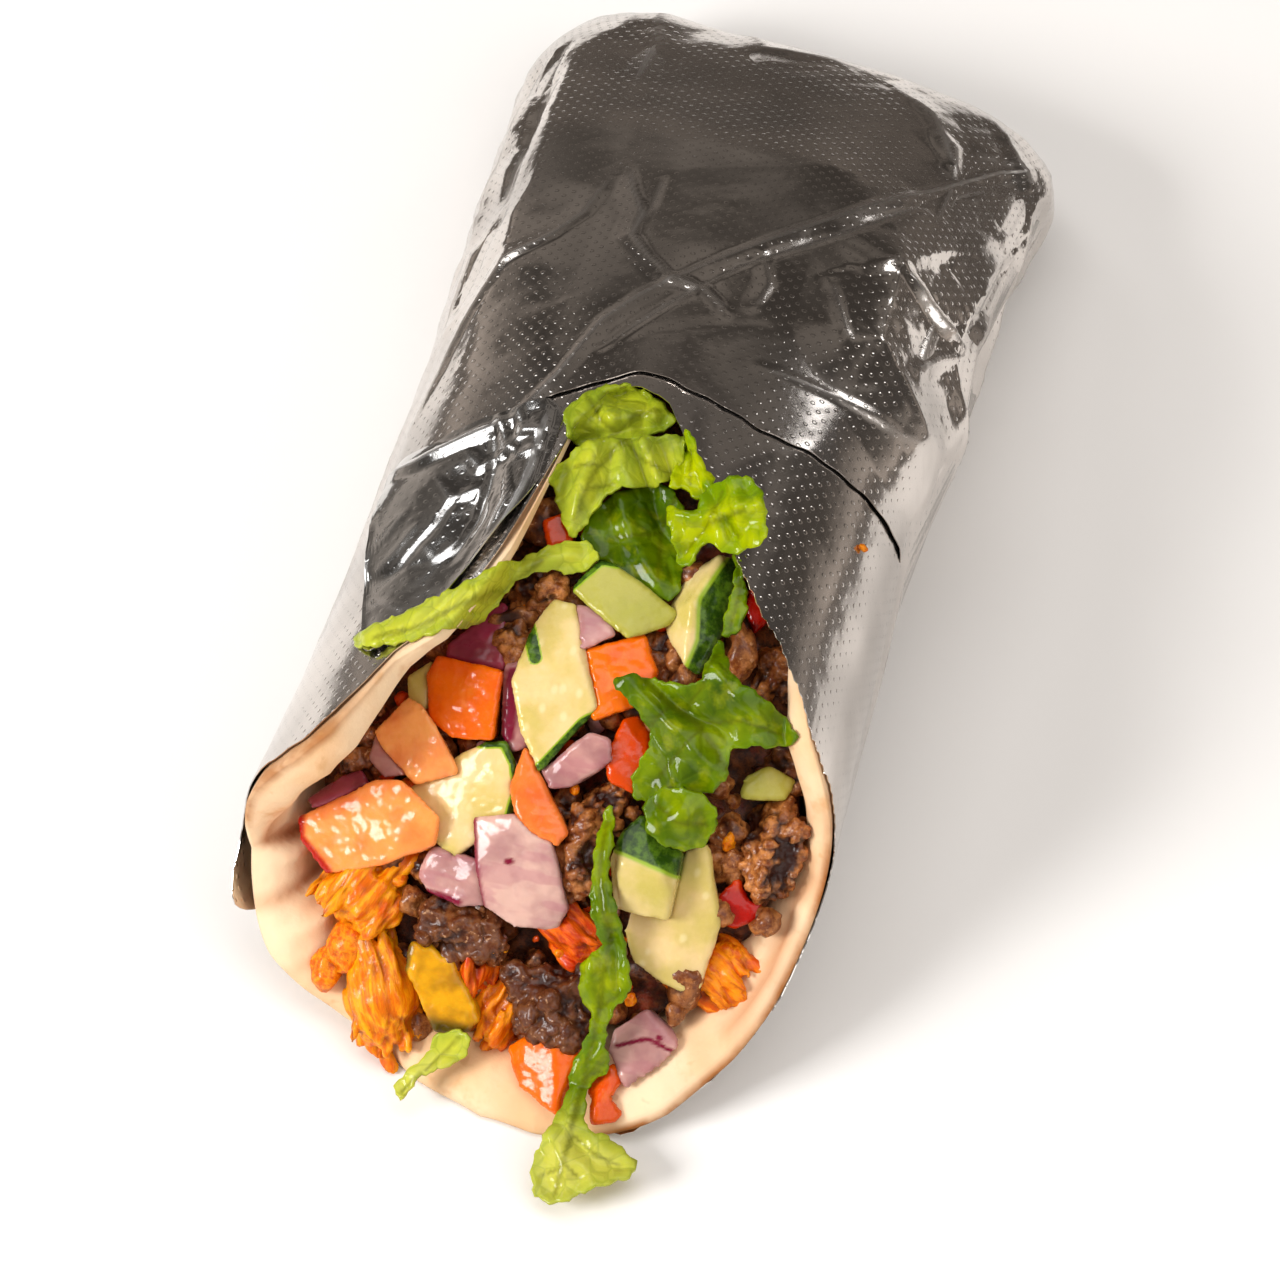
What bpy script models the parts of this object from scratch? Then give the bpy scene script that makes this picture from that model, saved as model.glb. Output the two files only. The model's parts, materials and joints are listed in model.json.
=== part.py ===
"""Gyro wrap lying on its back: a folded pita in embossed foil, open at one end.

X runs across the wrap, +Y towards the folded end, Z up from the table.
All dimensions below are millimetres and degrees.
Places in the mouth are given as (u, v, lift): u across, v up the open face,
lift above or below the usual surface of the heap of filling.
"""
import math

import bmesh
import bpy
from mathutils import Matrix, Vector, noise
from mathutils.bvhtree import BVHTree

MM = 0.001
GAP = 0.35
SEAM_ANGLES = (2.5, 1.0, 0.2, 0.0)

FOIL_THICKNESS = 0.8
PITA_OUTER = 1.3
PITA_THICKNESS = 4.0
FILLING_INSET = PITA_OUTER + PITA_THICKNESS + 2 * GAP
COVER_LIFT = 0.9
FLAP_LIFT = 0.5
LAYER_STEPS = 6
FILLING_END = 178.0
END_SKEW = -0.09
ROUNDNESS = 2.15

MOUTH_TILT = math.radians(34.0)
MOUTH_HEIGHT = 2.0
MOUTH_LENGTH = 107.0
HEAP_HEIGHT = 12.0
HEAP_HALF_WIDTH = 44.0
LOWEST_HEAP_Z = 6.0
CORE_DROP = 7.0

# y, half width to the left, half width to the right, top, base
SECTIONS = (
    (-15, 42.5, 43.5, 62, -1.5),
    (20, 42.3, 43.5, 62, -1.5),
    (45, 40.5, 42.6, 62, -1.5),
    (60, 39.6, 41.6, 62, -1.5),
    (90, 40.2, 40.6, 61.5, -1.5),
    (120, 42, 40.6, 56, -1.5),
    (150, 44.6, 40.9, 46, -1.5),
    (170, 46, 41.8, 36, -1),
    (180, 46, 43, 31, 0.5),
    (190, 43, 38.5, 25, 3),
    (196, 40, 32, 19.5, 5),
    (200, 36, 26, 12.5, 7.5),
)

# angle round the wrap from its top, y of the edge there
PITA_RIM = (
    (-180, -2), (-165, -1), (-145, 4.5), (-124, 11), (-104, 20), (-90, 19),
    (-75, 17.5), (-60, 17), (-53, 17.5), (-44, 21.5), (-38, 27.5), (-33, 34),
    (-25, 38), (-20, 45), (-16, 52), (-13, 66), (-12, 78), (-8, 88), (-2, 92),
    (4, 90), (9, 84), (16, 76), (27, 66), (36, 59), (51, 50), (60, 43),
    (77, 38), (96, 33), (104, 27), (115, 17), (127, 9.5), (142, 2.5),
    (158, -1.5), (170, -2.5), (180, -2),
)
FOIL_RIM = (
    (-180, 0), (-165, 1), (-145, 6.5), (-124, 13), (-104, 22.5), (-90, 21.5),
    (-75, 20), (-60, 19.5), (-50, 21), (-44, 25), (-38, 30), (-33, 36),
    (-27, 40), (-22, 45), (-18, 55), (-14, 70), (-11, 80), (-7, 87), (-2, 89),
    (4, 87), (9, 81.5), (16, 74), (27, 64), (36, 57.5), (51, 49.5), (60, 43.5),
    (77, 39), (96, 34), (104, 28.5), (115, 18.5), (127, 10.5), (142, 2),
    (152, -2.5), (160, -1.5), (170, -1), (180, 0),
)
# angle, front and back edge of the foil folded up over the top
COVER = (
    (-66, 74, 130), (-52, 71, 145), (-41, 75, 160), (-31, 77, 168), (-21, 83, 172),
    (-10, 88, 174), (-2, 91.5, 175), (6, 90.5, 175), (14, 89, 175), (24, 87.5, 174),
    (42, 87.5, 170), (58, 87, 160), (70, 86.5, 145), (80, 86, 130),
)
# angle, front and back edge of the flap folded back beside the mouth
FLAP = (
    (-58, 66, 75), (-53, 58, 75), (-47, 45, 76), (-41, 36, 78), (-34, 37.5, 80),
    (-29, 41, 81), (-24, 47, 83), (-20, 56, 85),
)

COLUMNS = tuple(range(-180, -60, 10)) + tuple(range(-60, 60, 5)) + tuple(range(60, 180, 10))
EDGE_STRIP = 3.0
FRONT_SHARES = (0.0, 0.2, 0.45, 0.75)
REAR_ROWS = (110, 130, 148, 163, 174, 181, 186, 191, 196, 200)
FOIL_ROWS = (9, 10)
PITA_ROWS = (6, 7)

# name, depth, shrink of the underside, corners of the upper side (u, v, lift)
TOMATO = (
    ("tomato_1", 10, 0.85, ((-20, 61, 0), (-10, 61, 1), (-9, 51, 1), (-15, 50, 1), (-19, 52, 0), (-21, 58, -1))),
    ("tomato_2", 8, 0.7, ((-23, 54, 0), (-27, 48, -1), (-25, 46, -1), (-19, 42, 0), (-13, 45, 0), (-16, 49, 2),
                          (-20, 53, 2))),
    ("tomato_3", 9, 0.7, ((-36, 33, -2), (-25, 41, 1), (-21, 42, 2), (-14, 38, 2), (-14, 34, 1), (-22, 29, 1),
                          (-30, 26, -1), (-35, 30, -2))),
    ("tomato_4", 8, 0.6, ((-4, 51, 0), (-5, 45, 0), (-3, 41, 2), (0, 39, 2), (4, 38, 2), (5, 40, 1), (2, 43, 0),
                          (-1, 47, 0))),
    ("tomato_5", 8, 0.85, ((0, 66, 0), (9, 71, -1), (12, 66, -1), (11, 61, 0), (5, 57, 1))),
    ("tomato_6", 8, 0.85, ((9, 58, -1), (11, 59, -2), (13, 57, -2), (14, 53, -1), (13, 48, 0), (9, 49, 0),
                           (8, 52, 0))),
    ("tomato_7", 9, 0.7, ((2, 7, -1), (5, 9, 0), (8, 12, 0), (13, 9, 0), (12, 3, 1), (12, -1, 0), (5, 2, 0))),
    ("tomato_8", 6, 0.8, ((15, 5, 0), (18, 8, 0), (22, 4, -1), (20, 0, -1), (17, -1, 0))),
    ("tomato_9", 8, 0.7, ((28, 36, -3), (30, 39, -4), (34, 36, -4), (34, 34, -4), (31, 32, -4), (28, 32, -3))),
    ("tomato_10", 6, 0.8, ((-10, 84, -1), (-7, 86, -1), (-5, 82, -1), (-8, 80, -1))),
    ("tomato_11", 7, 0.8, ((22, 86, -5), (25, 84, -5), (26, 78, -5), (24, 75, -5), (22, 78, -5))),
)
CUCUMBER = (
    ("cucumber_1", 6, 0.85, ((-5, 73, 0), (-2, 73, 0), (1, 65, 1), (5, 59, 1), (4, 57, 1), (-1, 48, 1), (-5, 53, 1),
                             (-8, 60, 1), (-7, 69, 0))),
    ("cucumber_2", 7, 0.85, ((-20, 41, -2), (-15, 44, -2), (-13, 48, -1), (-10, 50, 0), (-7, 51, 0), (-5, 48, 0),
                             (-4, 44, 0), (-4, 41, 0), (-11, 33, -1), (-14, 34, -1))),
    ("cucumber_3", 6, 0.8, ((-3, 75, 0), (0, 80, 0), (2, 80, 0), (7, 78, 0), (13, 75, -1), (12, 73, -1), (9, 71, 0),
                            (7, 70, 1), (3, 72, 1))),
    ("cucumber_4", 8, 0.8, ((11, 74, -3), (12, 77, -3), (13, 81, -3), (15, 83, -2), (17, 85, -1), (19, 85, -2),
                            (15, 77, 1), (20, 80, -3), (20, 75, -2), (19, 69, -2), (18, 67, -1), (16, 68, 0),
                            (13, 71, -2))),
    ("cucumber_5", 7, 0.8, ((25, 43, -2), (27, 37, -1), (29, 32, -2), (28, 27, -2), (28, 22, -2), (26, 21, -2),
                            (22, 22, -1), (18, 24, -1), (16, 28, -1), (17, 38, -1))),
    ("cucumber_6", 7, 0.9, ((13, 42, 1), (15, 45, 0), (22, 41, 1), (12, 38, 3), (20, 37, 4), (22, 35, 3), (22, 31, 2),
                            (14, 31, 2))),
    ("cucumber_7", 6, 0.8, ((28, 54, -3), (31, 56, -3), (35, 55, -4), (34, 52, -3), (30, 51, -2), (28, 51, -2))),
    ("cucumber_8", 7, 0.8, ((-24, 57, -2), (-21, 60, -2), (-20, 53, -1), (-23, 54, -2))),
)
ONION = (
    ("onion_1", 8, 0.9, ((-9, 39, 1), (-3, 41, 2), (3, 38, 2), (5, 34, 2), (7, 29, 1), (6, 26, 0), (0, 25, 1),
                         (-5, 27, 1), (-7, 32, 2))),
    ("onion_2", 6, 0.85, ((-15, 33, -1), (-13, 34, -1), (-7, 33, 0), (-5, 27, 0), (-9, 26, 0), (-14, 27, -1),
                          (-16, 29, -1))),
    ("onion_3", 7, 0.85, ((-19, 63, -1), (-17, 65, -2), (-13, 71, -3), (-12, 70, -3), (-10, 61, -1), (-19, 61, -1))),
    ("onion_4", 7, 0.8, ((-10, 62, -1), (-6, 64, -1), (-4, 53, -1), (-4, 51, -1), (-6, 50, -1), (-8, 52, -1))),
    ("onion_5", 6, 0.8, ((-2, 68, 0), (-2, 73, 0), (2, 73, 0), (5, 70, 1), (0, 66, 1))),
    ("onion_6", 6, 0.8, ((-1, 48, 0), (5, 55, 1), (8, 55, 1), (9, 52, 1), (4, 47, 0), (1, 46, 0))),
    ("onion_7", 5, 0.8, ((-27, 48, -2), (-27, 44, -2), (-24, 42, -1), (-21, 43, -1), (-24, 47, -2))),
    ("onion_8", 5, 0.8, ((-35, 36, -2), (-31, 40, -2), (-28, 42, -2), (-26, 40, -1), (-29, 38, 0), (-34, 35, -1))),
    ("onion_9", 4, 0.95, ((17, 13, -2), (21, 17, -3), (25, 15, -4), (28, 12, -2), (28, 9, -1), (26, 7, 0), (22, 4, 1),
                          (20, 6, 1), (17, 10, -1))),
)
PEPPER = (
    ("pepper_1", 6, 0.9, ((-15, 19, 0), (-10, 19, -1), (-8, 15, -1), (-4, 12, 0), (-3, 10, 0), (-5, 7, 1), (-9, 7, 1),
                          (-12, 11, 1), (-15, 15, 0))),
)
# name, middle (u, v, lift), half sizes across, along and deep, turn in the mouth
MEAT = (
    ("meat_1", (7.5, 40, 1), (3.8, 9.5, 4.5), -5),
    ("meat_2", (33.7, 44.5, -1), (4.6, 8.7, 4.5), -6),
    ("meat_3", (-8.2, 22.6, 1), (6.8, 5.2, 4.5), -12),
    ("meat_4", (7, 15.3, 1), (7.6, 7, 5), 15),
    ("meat_5", (-6.9, 72, -1), (4.4, 4.8, 4), 0),
    ("meat_6", (-8.8, 65.2, -1), (3.6, 3.4, 3.5), 10),
    ("meat_7", (29.5, 71, -4), (3.6, 7, 4.5), -22),
    ("meat_8", (13.4, 68.4, -3), (3.8, 3.8, 3.5), 0),
    ("meat_9", (-28.6, 44.3, -3), (3.6, 3.6, 3.5), 0),
    ("meat_10", (34.5, 58, -4), (3.2, 4.2, 3.5), -20),
    ("meat_11", (27.5, 42, -5), (2.9, 4.8, 3), -10),
)
CHICKEN = (
    ("chicken_1", (-24, 24, 1), (7.6, 6.6, 5.5), -20),
    ("chicken_2", (-19.5, 11, 2), (6.2, 10.6, 5.5), 24),
    ("chicken_3", (-6, 17, -1), (3.4, 4.4, 4), 0),
    ("chicken_4", (8, 26, 0), (5.8, 3.8, 4), -12),
    ("chicken_5", (29, 25.5, -4), (5.6, 6, 4.5), -20),
    ("chicken_6", (-1.6, 11.6, -1), (3, 5.4, 4), 20),
)
# name, thickness, stations down the leaf (u, v, half width, lift)
LETTUCE = (
    ("lettuce_1", 1.2, ((-3, 104.5, 3.5, -3), (-3.5, 101.5, 6.5, -1.5), (-2, 97, 7.5, -1), (-2, 92, 7, 1),
                        (-5, 88, 4, 1), (-5, 84, 1.5, 0))),
    ("lettuce_2", 1.4, ((7.5, 100, 1.6, -3), (9.2, 97.6, 2.8, -1.5), (10.6, 95, 3, -1), (11, 92.5, 1.8, 0))),
    ("lettuce_3", 1.2, ((11.5, 83, 1.5, 0), (13, 86.5, 4, 2), (16.5, 90.5, 5.5, 5), (20.5, 92, 4.6, 7),
                        (23.5, 91.5, 3, 8))),
    ("lettuce_4", 1.2, ((-1, 89, 2.5, -3), (3, 86.5, 5, -4), (7, 82.5, 5, -3), (10.5, 79, 2.5, -2))),
    ("lettuce_5", 1.2, ((-30, 60.5, 1, 4), (-26, 62.5, 2.2, 3), (-21, 65.5, 3, 2), (-16, 69, 3.2, 1),
                        (-11.5, 74.5, 2.8, 1), (-7, 78.8, 2.4, 1), (-2.5, 80.5, 2, 1))),
    ("lettuce_6", 1.2, ((20, 73, 1, 0), (20.5, 69.5, 2.5, 1), (21, 66.5, 8, 3), (21, 62, 13, 3), (20.5, 58.5, 9, 3),
                        (19.5, 54, 6.5, 3), (19.5, 50, 5.5, 3), (18.5, 47.8, 3, 3))),
    ("lettuce_7", 2.4, ((17.2, 46.6, 2.4, 3), (20, 45.6, 3.6, 5), (23, 45, 3.4, 5), (25, 44.8, 2, 3))),
    ("lettuce_8", 1.2, ((19.6, 86, 0.8, 0), (21.4, 81.5, 1.8, 0), (21.8, 77.5, 1.8, 1), (21.2, 74.6, 1, 1))),
    ("lettuce_9", 1.2, ((10.4, 45, 0.8, 3), (11.2, 40, 1.5, 3), (11.4, 35.5, 1.7, 3), (13.4, 29.5, 2.1, 3),
                        (14.8, 25, 2.3, 3), (15.2, 20.5, 3.9, 3), (15.8, 15.5, 2, 3), (15.4, 11, 1.9, 3),
                        (14.8, 7, 2.6, 3), (14.2, 2.5, 2, 2), (14.6, -1.8, 3.2, 1.5), (16.6, -6, 6.6, -1),
                        (17, -9.5, 6.4, -3), (16, -12.5, 3.4, -4))),
    ("lettuce_10", 1.4, ((-6, 7.4, 2.4, 2), (-6.6, 4, 2, 2), (-9, 0.2, 1.5, 1), (-12, -3.4, 1.1, -1))),
)
# pieces that lie over their neighbours come first
FRONT_FIRST = (
    "cucumber_6", "tomato_4", "onion_1", "tomato_3", "tomato_2", "tomato_1", "cucumber_1", "meat_1", "tomato_7",
    "meat_4", "meat_3", "chicken_1", "chicken_2", "cucumber_5", "cucumber_3", "cucumber_4", "tomato_6", "onion_6",
    "tomato_5", "onion_5", "cucumber_2", "onion_9", "meat_2", "pepper_1", "onion_2",
)

COLOURS = {
    "foil": ((0.62, 0.6, 0.58), 0.3, 1.0),
    "pita": ((0.86, 0.7, 0.48), 0.75, 0.0),
    "filling": ((0.2, 0.09, 0.04), 0.7, 0.0),
    "tomato": ((0.85, 0.2, 0.05), 0.3, 0.0),
    "cucumber": ((0.72, 0.74, 0.4), 0.35, 0.0),
    "onion": ((0.62, 0.4, 0.5), 0.35, 0.0),
    "pepper": ((0.6, 0.45, 0.05), 0.35, 0.0),
    "meat": ((0.24, 0.1, 0.05), 0.6, 0.0),
    "chicken": ((0.85, 0.38, 0.04), 0.55, 0.0),
    "lettuce": ((0.3, 0.48, 0.04), 0.4, 0.0),
}


def blend(table, at):
    """Smooth values of a table's columns at a place along its first column."""
    at = min(max(at, table[0][0]), table[-1][0])
    index = max(i for i in range(len(table) - 1) if table[i][0] <= at)
    before = table[max(index - 1, 0)]
    start = table[index]
    end = table[index + 1]
    after = table[min(index + 2, len(table) - 1)]
    span = end[0] - start[0]
    s = (at - start[0]) / span
    values = []
    for k in range(1, len(start)):
        leave = (end[k] - before[k]) / (end[0] - before[0]) * span
        arrive = (after[k] - start[k]) / (after[0] - start[0]) * span
        values.append(start[k] * (1 + 2 * s) * (1 - s) ** 2 + leave * s * (1 - s) ** 2
                      + end[k] * s * s * (3 - 2 * s) + arrive * s * s * (s - 1))
    return values


def between(table, at):
    """Straight-line values of a table's columns at a place along its first column."""
    index = max(i for i in range(len(table) - 1) if table[i][0] <= at)
    start = table[index]
    end = table[index + 1]
    s = (at - start[0]) / (end[0] - start[0])
    return [start[k] + (end[k] - start[k]) * s for k in range(1, len(start))]


def swell(value):
    """Rounded-box power of a sine or cosine, with its sign."""
    return math.copysign(abs(value) ** (2 / ROUNDNESS), value)


def wrap_point(angle, y, inset):
    """Point on the wrap at an angle from its top, at a depth under the foil's outer face."""
    left, right, top, base = blend(SECTIONS, y)
    turn = math.radians(angle)
    half = (right if turn > 0 else left) - inset
    low = base + inset
    high = top - inset
    x = half * swell(math.sin(turn))
    z = (low + high) / 2 + (high - low) / 2 * swell(math.cos(turn))
    skew = END_SKEW * min(max((y - 150) / 50, 0), 1)
    return Vector((x, y + skew * x, max(z, inset)))


def heap_height(u, v):
    """Usual height of the filling above the plane of the mouth."""
    along = min(max(v / MOUTH_LENGTH, 0.0), 1.0)
    rise = HEAP_HEIGHT * math.sin(math.pi * along) ** 0.8
    fall = 0.55 if u > 0 else 0.3
    return rise * (1 - fall * (u / HEAP_HALF_WIDTH) ** 2)


def mouth_point(u, v, w):
    """Point in the mouth: across, up its open face, and out of it."""
    y = v * math.cos(MOUTH_TILT) - w * math.sin(MOUTH_TILT)
    z = MOUTH_HEIGHT + v * math.sin(MOUTH_TILT) + w * math.cos(MOUTH_TILT)
    return Vector((u, y, z))


def heap_point(u, v, lift):
    """Point at a lift over the heap, which never sinks to the table in front of the lip."""
    lowest = (LOWEST_HEAP_Z - MOUTH_HEIGHT - v * math.sin(MOUTH_TILT)) / math.cos(MOUTH_TILT)
    return mouth_point(u, v, max(heap_height(u, v), lowest) + lift)


def material_for(kind):
    colour, roughness, metallic = COLOURS[kind]
    material = bpy.data.materials.new(kind)
    material.use_nodes = True
    shader = material.node_tree.nodes["Principled BSDF"]
    shader.inputs["Base Color"].default_value = (*colour, 1.0)
    shader.inputs["Roughness"].default_value = roughness
    shader.inputs["Metallic"].default_value = metallic
    return material


def new_object(name, bm, collection):
    """Object from a bmesh held in millimetres."""
    bmesh.ops.scale(bm, vec=(MM, MM, MM), verts=bm.verts)
    bmesh.ops.recalc_face_normals(bm, faces=bm.faces)
    mesh = bpy.data.meshes.new(name)
    bm.to_mesh(mesh)
    bm.free()
    obj = bpy.data.objects.new(name, mesh)
    collection.objects.link(obj)
    return obj


def fan(bm, ring):
    """Close a ring of vertices with triangles round its middle."""
    middle = bm.verts.new(sum((vert.co for vert in ring), Vector()) / len(ring))
    for i, vert in enumerate(ring):
        bm.faces.new((vert, ring[(i + 1) % len(ring)], middle))


def strip(bm, first, second):
    """Triangles between two rings, always leaning the same way along the wrap."""
    for i, start in enumerate(first):
        j = (i + 1) % len(first)
        if start.co.y <= second[i].co.y:
            bm.faces.new((start, first[j], second[j]))
            bm.faces.new((start, second[j], second[i]))
        else:
            bm.faces.new((start, first[j], second[i]))
            bm.faces.new((first[j], second[j], second[i]))


def loft(name, rings, collection):
    """Closed body through a run of rings of points."""
    bm = bmesh.new()
    loops = [[bm.verts.new(point) for point in ring] for ring in rings]
    for first, second in zip(loops, loops[1:]):
        strip(bm, first, second)
    fan(bm, loops[0])
    fan(bm, loops[-1])
    return new_object(name, bm, collection)


def common_edge(angle):
    """Where the foil and the pita start to share their rows of points."""
    return max(between(PITA_RIM, angle)[0], between(FOIL_RIM, angle)[0]) + EDGE_STRIP


def wall_rings(rim, rear, inset, shift):
    """Rings of points along a wall of the wrap, from its rim to the last of its rear rows."""
    rings = [[wrap_point(angle, between(rim, angle)[0] + shift, inset) for angle in COLUMNS]]
    for share in FRONT_SHARES:
        ring = []
        for angle in COLUMNS:
            start = common_edge(angle)
            ring.append(wrap_point(angle, start + (REAR_ROWS[0] - start) * share, inset))
        rings.append(ring)
    for y in REAR_ROWS[:rear]:
        rings.append([wrap_point(angle, y, inset) for angle in COLUMNS])
    return rings


def cup(name, rim, outer, inner, rears, lip, collection):
    """Wrap-shaped cup: inside from its closed end to the rim, then outside back again."""
    rings = wall_rings(rim, rears[0], inner, lip)[::-1]
    if lip > 0:
        middle = (inner + outer) / 2
        rings.append([wrap_point(angle, between(rim, angle)[0], middle) for angle in COLUMNS])
    rings += wall_rings(rim, rears[1], outer, lip)
    return loft(name, rings, collection)


def layer(name, table, lift, sinks, collection):
    """Folded layer of foil between two edges; its back may sink into the foil below."""
    rings = []
    for angle, front, back in table:
        outside = []
        inside = []
        for i in range(LAYER_STEPS + 1):
            share = i / LAYER_STEPS
            y = front + (back - front) * share
            outside.append(wrap_point(angle, y, -lift + sinks * share ** 2))
            inside.append(wrap_point(angle, y, FOIL_THICKNESS * 0.75))
        rings.append(outside + inside[::-1])
    return loft(name, rings, collection)


def combine(obj, other, operation):
    """Boolean one object with another and keep the result as its mesh."""
    boolean = obj.modifiers.new("boolean", "BOOLEAN")
    boolean.operation = operation
    boolean.solver = "EXACT"
    boolean.object = other
    bpy.context.view_layer.update()
    evaluated = obj.evaluated_get(bpy.context.evaluated_depsgraph_get())
    result = bpy.data.meshes.new_from_object(evaluated)
    old = obj.data
    obj.modifiers.clear()
    obj.data = result
    bpy.data.meshes.remove(old)


def heap_cutter(collection):
    """Everything above the core of the filling, from the lip to the top of the mouth."""
    bm = bmesh.new()
    us = tuple(range(-50, 51, 10))
    vs = (-30, -5, 3, 10, 18, 28, 40, 55, 70, 85, 97, 107, 114)
    above = 70
    floor = [[bm.verts.new(mouth_point(u, v, heap_height(u, v) - CORE_DROP)) for u in us] for v in vs]
    roof = [[bm.verts.new(mouth_point(u, v, above)) for u in us] for v in vs]
    for sheet in (floor, roof):
        for first, second in zip(sheet, sheet[1:]):
            for i in range(len(us) - 1):
                bm.faces.new((first[i], first[i + 1], second[i + 1], second[i]))
    for low, high in ((floor[0], roof[0]), (floor[-1], roof[-1])):
        for i in range(len(us) - 1):
            bm.faces.new((low[i], low[i + 1], high[i + 1], high[i]))
    for side in (0, -1):
        for j in range(len(vs) - 1):
            bm.faces.new((floor[j][side], floor[j + 1][side], roof[j + 1][side], roof[j][side]))
    return new_object("above_core", bm, collection)


def filling_body(name, inset, collection, cutters):
    """Core of the filling: the inside of the pita, hollowed where the heap of pieces lies."""
    stations = (-4, 20, 45, 70, 90, 110, 130, 150, 165, 174, FILLING_END)
    rings = [[wrap_point(angle, y, inset) for angle in range(-180, 180, 12)] for y in stations]
    body = loft(name, rings, collection)
    cutter = heap_cutter(cutters)
    combine(body, cutter, "DIFFERENCE")
    return body


def chunk(name, depth, shrink, corners, collection):
    """Cut piece: the hull of its upper corners and a smaller underside."""
    tops = [heap_point(*corner) for corner in corners]
    middle = sum(tops, Vector()) / len(tops)
    down = mouth_point(0, 0, -depth) - mouth_point(0, 0, 0)
    bm = bmesh.new()
    for top in tops:
        bm.verts.new(top)
        bm.verts.new(middle + (top - middle) * shrink + down)
    hull = bmesh.ops.convex_hull(bm, input=bm.verts)
    inside = [item for item in hull["geom_interior"] if isinstance(item, bmesh.types.BMVert)]
    bmesh.ops.delete(bm, geom=inside, context="VERTS")
    return new_object(name, bm, collection)


def lump(name, middle, halves, turn, collection):
    """Rough rounded piece of meat."""
    bm = bmesh.new()
    bmesh.ops.create_icosphere(bm, subdivisions=2, radius=1.0)
    u, v, lift = middle
    frame = Matrix.Rotation(MOUTH_TILT, 3, "X") @ Matrix.Rotation(math.radians(turn), 3, "Z")
    centre = heap_point(u, v, lift - halves[2])
    for vert in bm.verts:
        rough = 1 + 0.16 * noise.noise(vert.co * 1.7 + Vector((u, v, 0)))
        local = Vector((vert.co.x * halves[0], vert.co.y * halves[1], vert.co.z * halves[2])) * rough
        vert.co = centre + frame @ local
    return new_object(name, bm, collection)


def leaf(name, thickness, stations, collection):
    """Leaf laid over the heap, from stations down its length."""
    bm = bmesh.new()
    shares = (-1.0, -0.5, 0.0, 0.5, 1.0)
    grid = []
    for i, (u, v, half, lift) in enumerate(stations):
        before = stations[max(i - 1, 0)]
        after = stations[min(i + 1, len(stations) - 1)]
        run = Vector((after[0] - before[0], after[1] - before[1])).normalized()
        row = []
        for share in shares:
            reach = half * share
            place = heap_point(u - run.y * reach, v + run.x * reach, lift - 0.8 * abs(share))
            row.append(bm.verts.new(place))
        grid.append(row)
    for first, second in zip(grid, grid[1:]):
        for i in range(len(shares) - 1):
            bm.faces.new((first[i], first[i + 1], second[i + 1], second[i]))
    obj = new_object(name, bm, collection)
    solidify = obj.modifiers.new("thickness", "SOLIDIFY")
    solidify.thickness = thickness * MM
    solidify.offset = 0.0
    return obj


def bake(obj):
    """Replace an object's mesh with its modified shape."""
    bpy.context.view_layer.update()
    evaluated = obj.evaluated_get(bpy.context.evaluated_depsgraph_get())
    result = bpy.data.meshes.new_from_object(evaluated)
    old = obj.data
    obj.modifiers.clear()
    obj.data = result
    bpy.data.meshes.remove(old)


def grown_copy(obj, distance, collection):
    """Copy of a body, fatter by a distance all round."""
    bm = bmesh.new()
    bm.from_mesh(obj.data)
    bmesh.ops.recalc_face_normals(bm, faces=bm.faces)
    bm.normal_update()
    moves = []
    for vert in bm.verts:
        moves.append((vert, vert.normal * vert.calc_shell_factor() * distance * MM))
    for vert, move in moves:
        if move.length > 3 * distance * MM:
            move = move.normalized() * 3 * distance * MM
        vert.co += move
    mesh = bpy.data.meshes.new(obj.name + "_room")
    bm.to_mesh(mesh)
    bm.free()
    copy = bpy.data.objects.new(obj.name + "_room", mesh)
    collection.objects.link(copy)
    return copy


def tree_of(obj):
    bm = bmesh.new()
    bm.from_mesh(obj.data)
    tree = BVHTree.FromBMesh(bm)
    bm.free()
    return tree


def largest_island(bm):
    """Faces of the biggest part of a mesh that hangs together along edges."""
    waiting = set(bm.faces)
    best = set()
    while waiting:
        reached = set()
        front = [waiting.pop()]
        while front:
            face = front.pop()
            reached.add(face)
            for edge in face.edges:
                for other in edge.link_faces:
                    if other in waiting:
                        waiting.discard(other)
                        front.append(other)
        if sum(face.calc_area() for face in reached) > sum(face.calc_area() for face in best):
            best = reached
    return best


def tidied(mesh, seam_angle):
    """Triangles of the biggest part of a mesh, without seams flatter than an angle."""
    bm = bmesh.new()
    bm.from_mesh(mesh)
    bmesh.ops.remove_doubles(bm, verts=bm.verts, dist=0.000002)
    keep = largest_island(bm)
    bmesh.ops.delete(bm, geom=[face for face in bm.faces if face not in keep], context="FACES")
    bmesh.ops.dissolve_limit(bm, angle_limit=math.radians(seam_angle), verts=bm.verts, edges=bm.edges)
    bmesh.ops.triangulate(bm, faces=bm.faces)
    bmesh.ops.recalc_face_normals(bm, faces=bm.faces)
    return bm


def clean(obj):
    """Tidy a body as far as it stays closed."""
    for seam_angle in SEAM_ANGLES:
        bm = tidied(obj.data, seam_angle)
        closed = all(len(edge.link_faces) == 2 for edge in bm.edges)
        if closed or seam_angle == SEAM_ANGLES[-1]:
            bm.to_mesh(obj.data)
            bm.free()
            return
        bm.free()


def carve(obj, rooms):
    """Cut a piece clear of every neighbour that already has its place."""
    for room, room_tree in rooms:
        if tree_of(obj).overlap(room_tree):
            combine(obj, room, "DIFFERENCE")
            clean(obj)


def finish(obj, material):
    obj.data.materials.clear()
    obj.data.materials.append(material)
    for polygon in obj.data.polygons:
        polygon.use_smooth = False


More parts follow.
